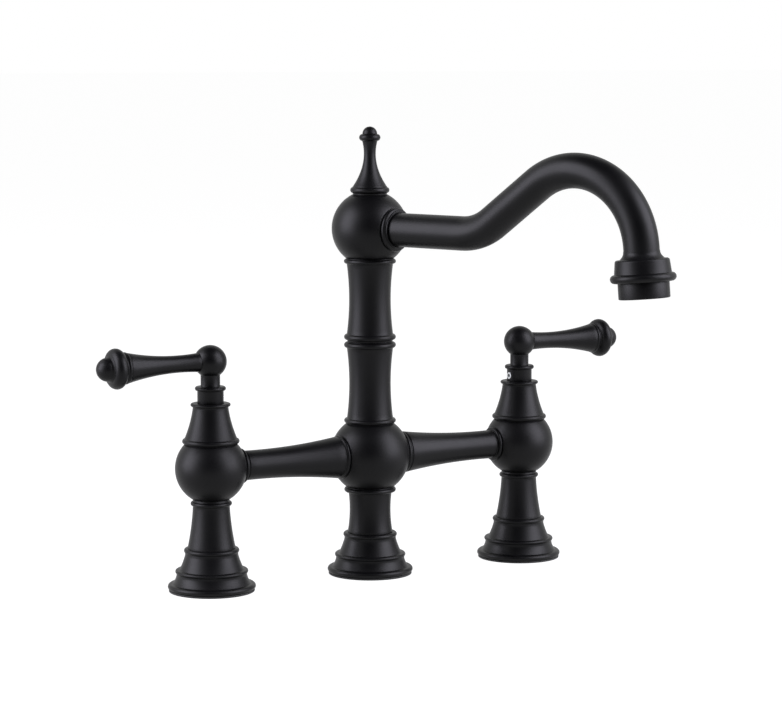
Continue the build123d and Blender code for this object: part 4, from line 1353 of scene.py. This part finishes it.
@dataclass(frozen=True)
class Softbox:
    """A soft rectangular lamp that faces the object.

    Attributes:
        name: Its name.
        azimuth: Its place round the object, in degrees from straight in front, as a camera's.
        elevation: Its height above the horizon, in degrees.
        size: Its width and height, in metres.
        power: Its power, in watts.
        colour: Its colour.
        distance: How far it is from the target, in metres.
    """

    name: str
    azimuth: float
    elevation: float
    size: Point
    power: float
    colour: str = "#f3f1ff"
    distance: float = 1.6

    def build(self, target: Vector) -> None:
        """Hangs the lamp.

        Args:
            target: The point that it faces, in metres.
        """
        back = toward(self.azimuth, self.elevation)
        bpy.ops.object.light_add(type="AREA", location=target + back * self.distance)
        lamp = bpy.context.object
        lamp.name = self.name
        lamp.rotation_euler = back.to_track_quat("Z", "Y").to_euler()
        lamp.data.shape = "RECTANGLE"
        lamp.data.size, lamp.data.size_y = self.size
        lamp.data.energy = self.power
        lamp.data.color = linear(self.colour)[:3]
        lamp.visible_camera = False


@dataclass
class Studio:
    """Pale floor, white surroundings, soft lamps, black flags and the camera of the photograph.

    Attributes:
        azimuth: Camera's place round the object, in degrees from straight in front.
        elevation: Its height above the horizon, in degrees.
        distance: Its distance from the target, in millimetres.
        shift: The target's offset to the right and up, in millimetres.
        target_height: The target's height on the centre column, in millimetres.
        focal_pixels: Focal length in pixels of the photograph's width.
        photo_width: That width.
        sensor: Width of the camera's sensor, in millimetres.
        floor_width: Width of the floor, in metres.
        flag_width: Width of a black flag, in metres.
        flag_distance: Distance of the flag by the camera, in metres.
        flag_height: Height of the flag overhead, in metres.
        ambient: Strength of the light from all round.
        softboxes: The lamps.
    """

    azimuth: float = -30.29
    elevation: float = 6.47
    distance: float = 1532.0
    shift: Point = (12.0, -3.0)
    target_height: float = 130.0
    focal_pixels: float = 2685.0
    photo_width: float = 782.0
    sensor: float = 36.0
    floor_width: float = 60.0
    flag_width: float = 1.8
    flag_distance: float = 1.3
    flag_height: float = 1.5
    ambient: float = 0.3
    softboxes: tuple[Softbox, ...] = (
        Softbox("left softbox", -105.0, 20.0, (1.1, 1.6), 46.0),
        Softbox("right softbox", 43.0, 26.0, (1.2, 1.6), 48.0),
    )

    def camera(self) -> None:
        """Sets up the camera."""
        turn, back = radians(self.azimuth), toward(self.azimuth, self.elevation)
        right = Vector((cos(turn), sin(turn), 0))
        up = back.cross(right)
        target = UP * self.target_height + right * self.shift[0] + up * self.shift[1]
        bpy.ops.object.camera_add(location=(target + back * self.distance) * MM)
        camera = bpy.context.object
        camera.name = "photo camera"
        camera.rotation_euler = Matrix((right, up, back)).transposed().to_euler()
        camera.data.sensor_width = self.sensor
        camera.data.lens = self.sensor * self.focal_pixels / self.photo_width
        camera.data.clip_end = 200.0
        bpy.context.scene.camera = camera

    def seen(self, tree: Tree) -> Socket:
        """Tells the rays that show a surface from those that light others.

        Args:
            tree: Node tree that gets the nodes.

        Returns:
            1 for camera, glossy and transmission rays.
        """
        path = add_node(tree, "ShaderNodeLightPath").outputs
        seen = path["Is Camera Ray"]
        for ray in ("Is Glossy Ray", "Is Transmission Ray"):
            links = {0: seen, 1: path[ray]}
            seen = add_node(tree, "ShaderNodeMath", links, operation="MAXIMUM").outputs[0]
        return seen

    def floor(self) -> None:
        """Lays the floor: pale matt paper, part of whose white is the backdrop's own."""
        bpy.ops.object.select_all(action="DESELECT")
        bpy.ops.mesh.primitive_plane_add(size=self.floor_width, location=(0, 0, 0))
        floor = bpy.context.object
        floor.name = "floor"
        material = new_material("pale paper")
        tree = material.node_tree
        tree.nodes.clear()
        paper = add_node(tree, "ShaderNodeBsdfDiffuse", {"Color": linear("#707070")})
        glow = add_node(tree, "ShaderNodeEmission", {"Color": linear("#f8f8f8"), "Strength": self.seen(tree)})
        both = add_node(tree, "ShaderNodeAddShader", {0: paper.outputs[0], 1: glow.outputs[0]})
        add_node(tree, "ShaderNodeOutputMaterial", {"Surface": both.outputs[0]})
        floor.data.materials.append(material)

    def flag(self, name: str, place: Vector, tilt: float) -> None:
        """Hangs a card of black felt, which only shows as a dark part of the reflections.

        Args:
            name: Its name.
            place: Its middle, in metres.
            tilt: Its angle from level, about the camera's right, in degrees.
        """
        turns = (radians(tilt), 0, radians(self.azimuth))
        bpy.ops.object.select_all(action="DESELECT")
        bpy.ops.mesh.primitive_plane_add(size=self.flag_width, location=place, rotation=turns)
        card = bpy.context.object
        card.name = name
        felt = new_material("black felt")
        shader = felt.node_tree.nodes["Principled BSDF"].inputs
        shader["Base Color"].default_value = linear("#0c0c0c")
        shader["Roughness"].default_value = 0.9
        card.data.materials.append(felt)
        card.visible_camera = card.visible_diffuse = card.visible_shadow = False

    def surroundings(self) -> None:
        """Makes the surroundings white to look at, and a plain soft light otherwise."""
        world = bpy.data.worlds.new("studio")
        bpy.context.scene.world = world
        world.use_nodes = True
        tree = world.node_tree
        tree.nodes.clear()
        light, white = (
            add_node(tree, "ShaderNodeBackground", {"Color": (1, 1, 1, 1), "Strength": strength}).outputs[0]
            for strength in (self.ambient, 1.0)
        )
        share = add_node(tree, "ShaderNodeMixShader", {0: self.seen(tree), 1: light, 2: white})
        add_node(tree, "ShaderNodeOutputWorld", {"Surface": share.outputs[0]})

    def build(self) -> None:
        """Sets up the whole studio."""
        self.camera()
        self.floor()
        ahead = toward(self.azimuth, 0.0) * self.flag_distance
        self.flag("black flag by the camera", ahead + UP * self.flag_width / 2, 90.0)
        self.flag("black flag overhead", UP * self.flag_height, 0.0)
        self.surroundings()
        for softbox in self.softboxes:
            softbox.build(UP * self.target_height * MM)
        bpy.context.scene.view_settings.view_transform = "Standard"


def main() -> None:
    """Builds the studio and every sub-assembly."""
    logging.basicConfig(level=logging.INFO, format="%(name)s: %(message)s")
    paints = {slot: finish.build() for slot, finish in FINISHES.items()}
    Studio().build()
    dress_inner(paints)
    for kind in (Feet, Legs, Bridge, Column, Spout, Bonnets, Handles):
        LOG.info("building %s", kind.__name__)
        kind(paints).build()


if __name__ == "__main__":
    main()
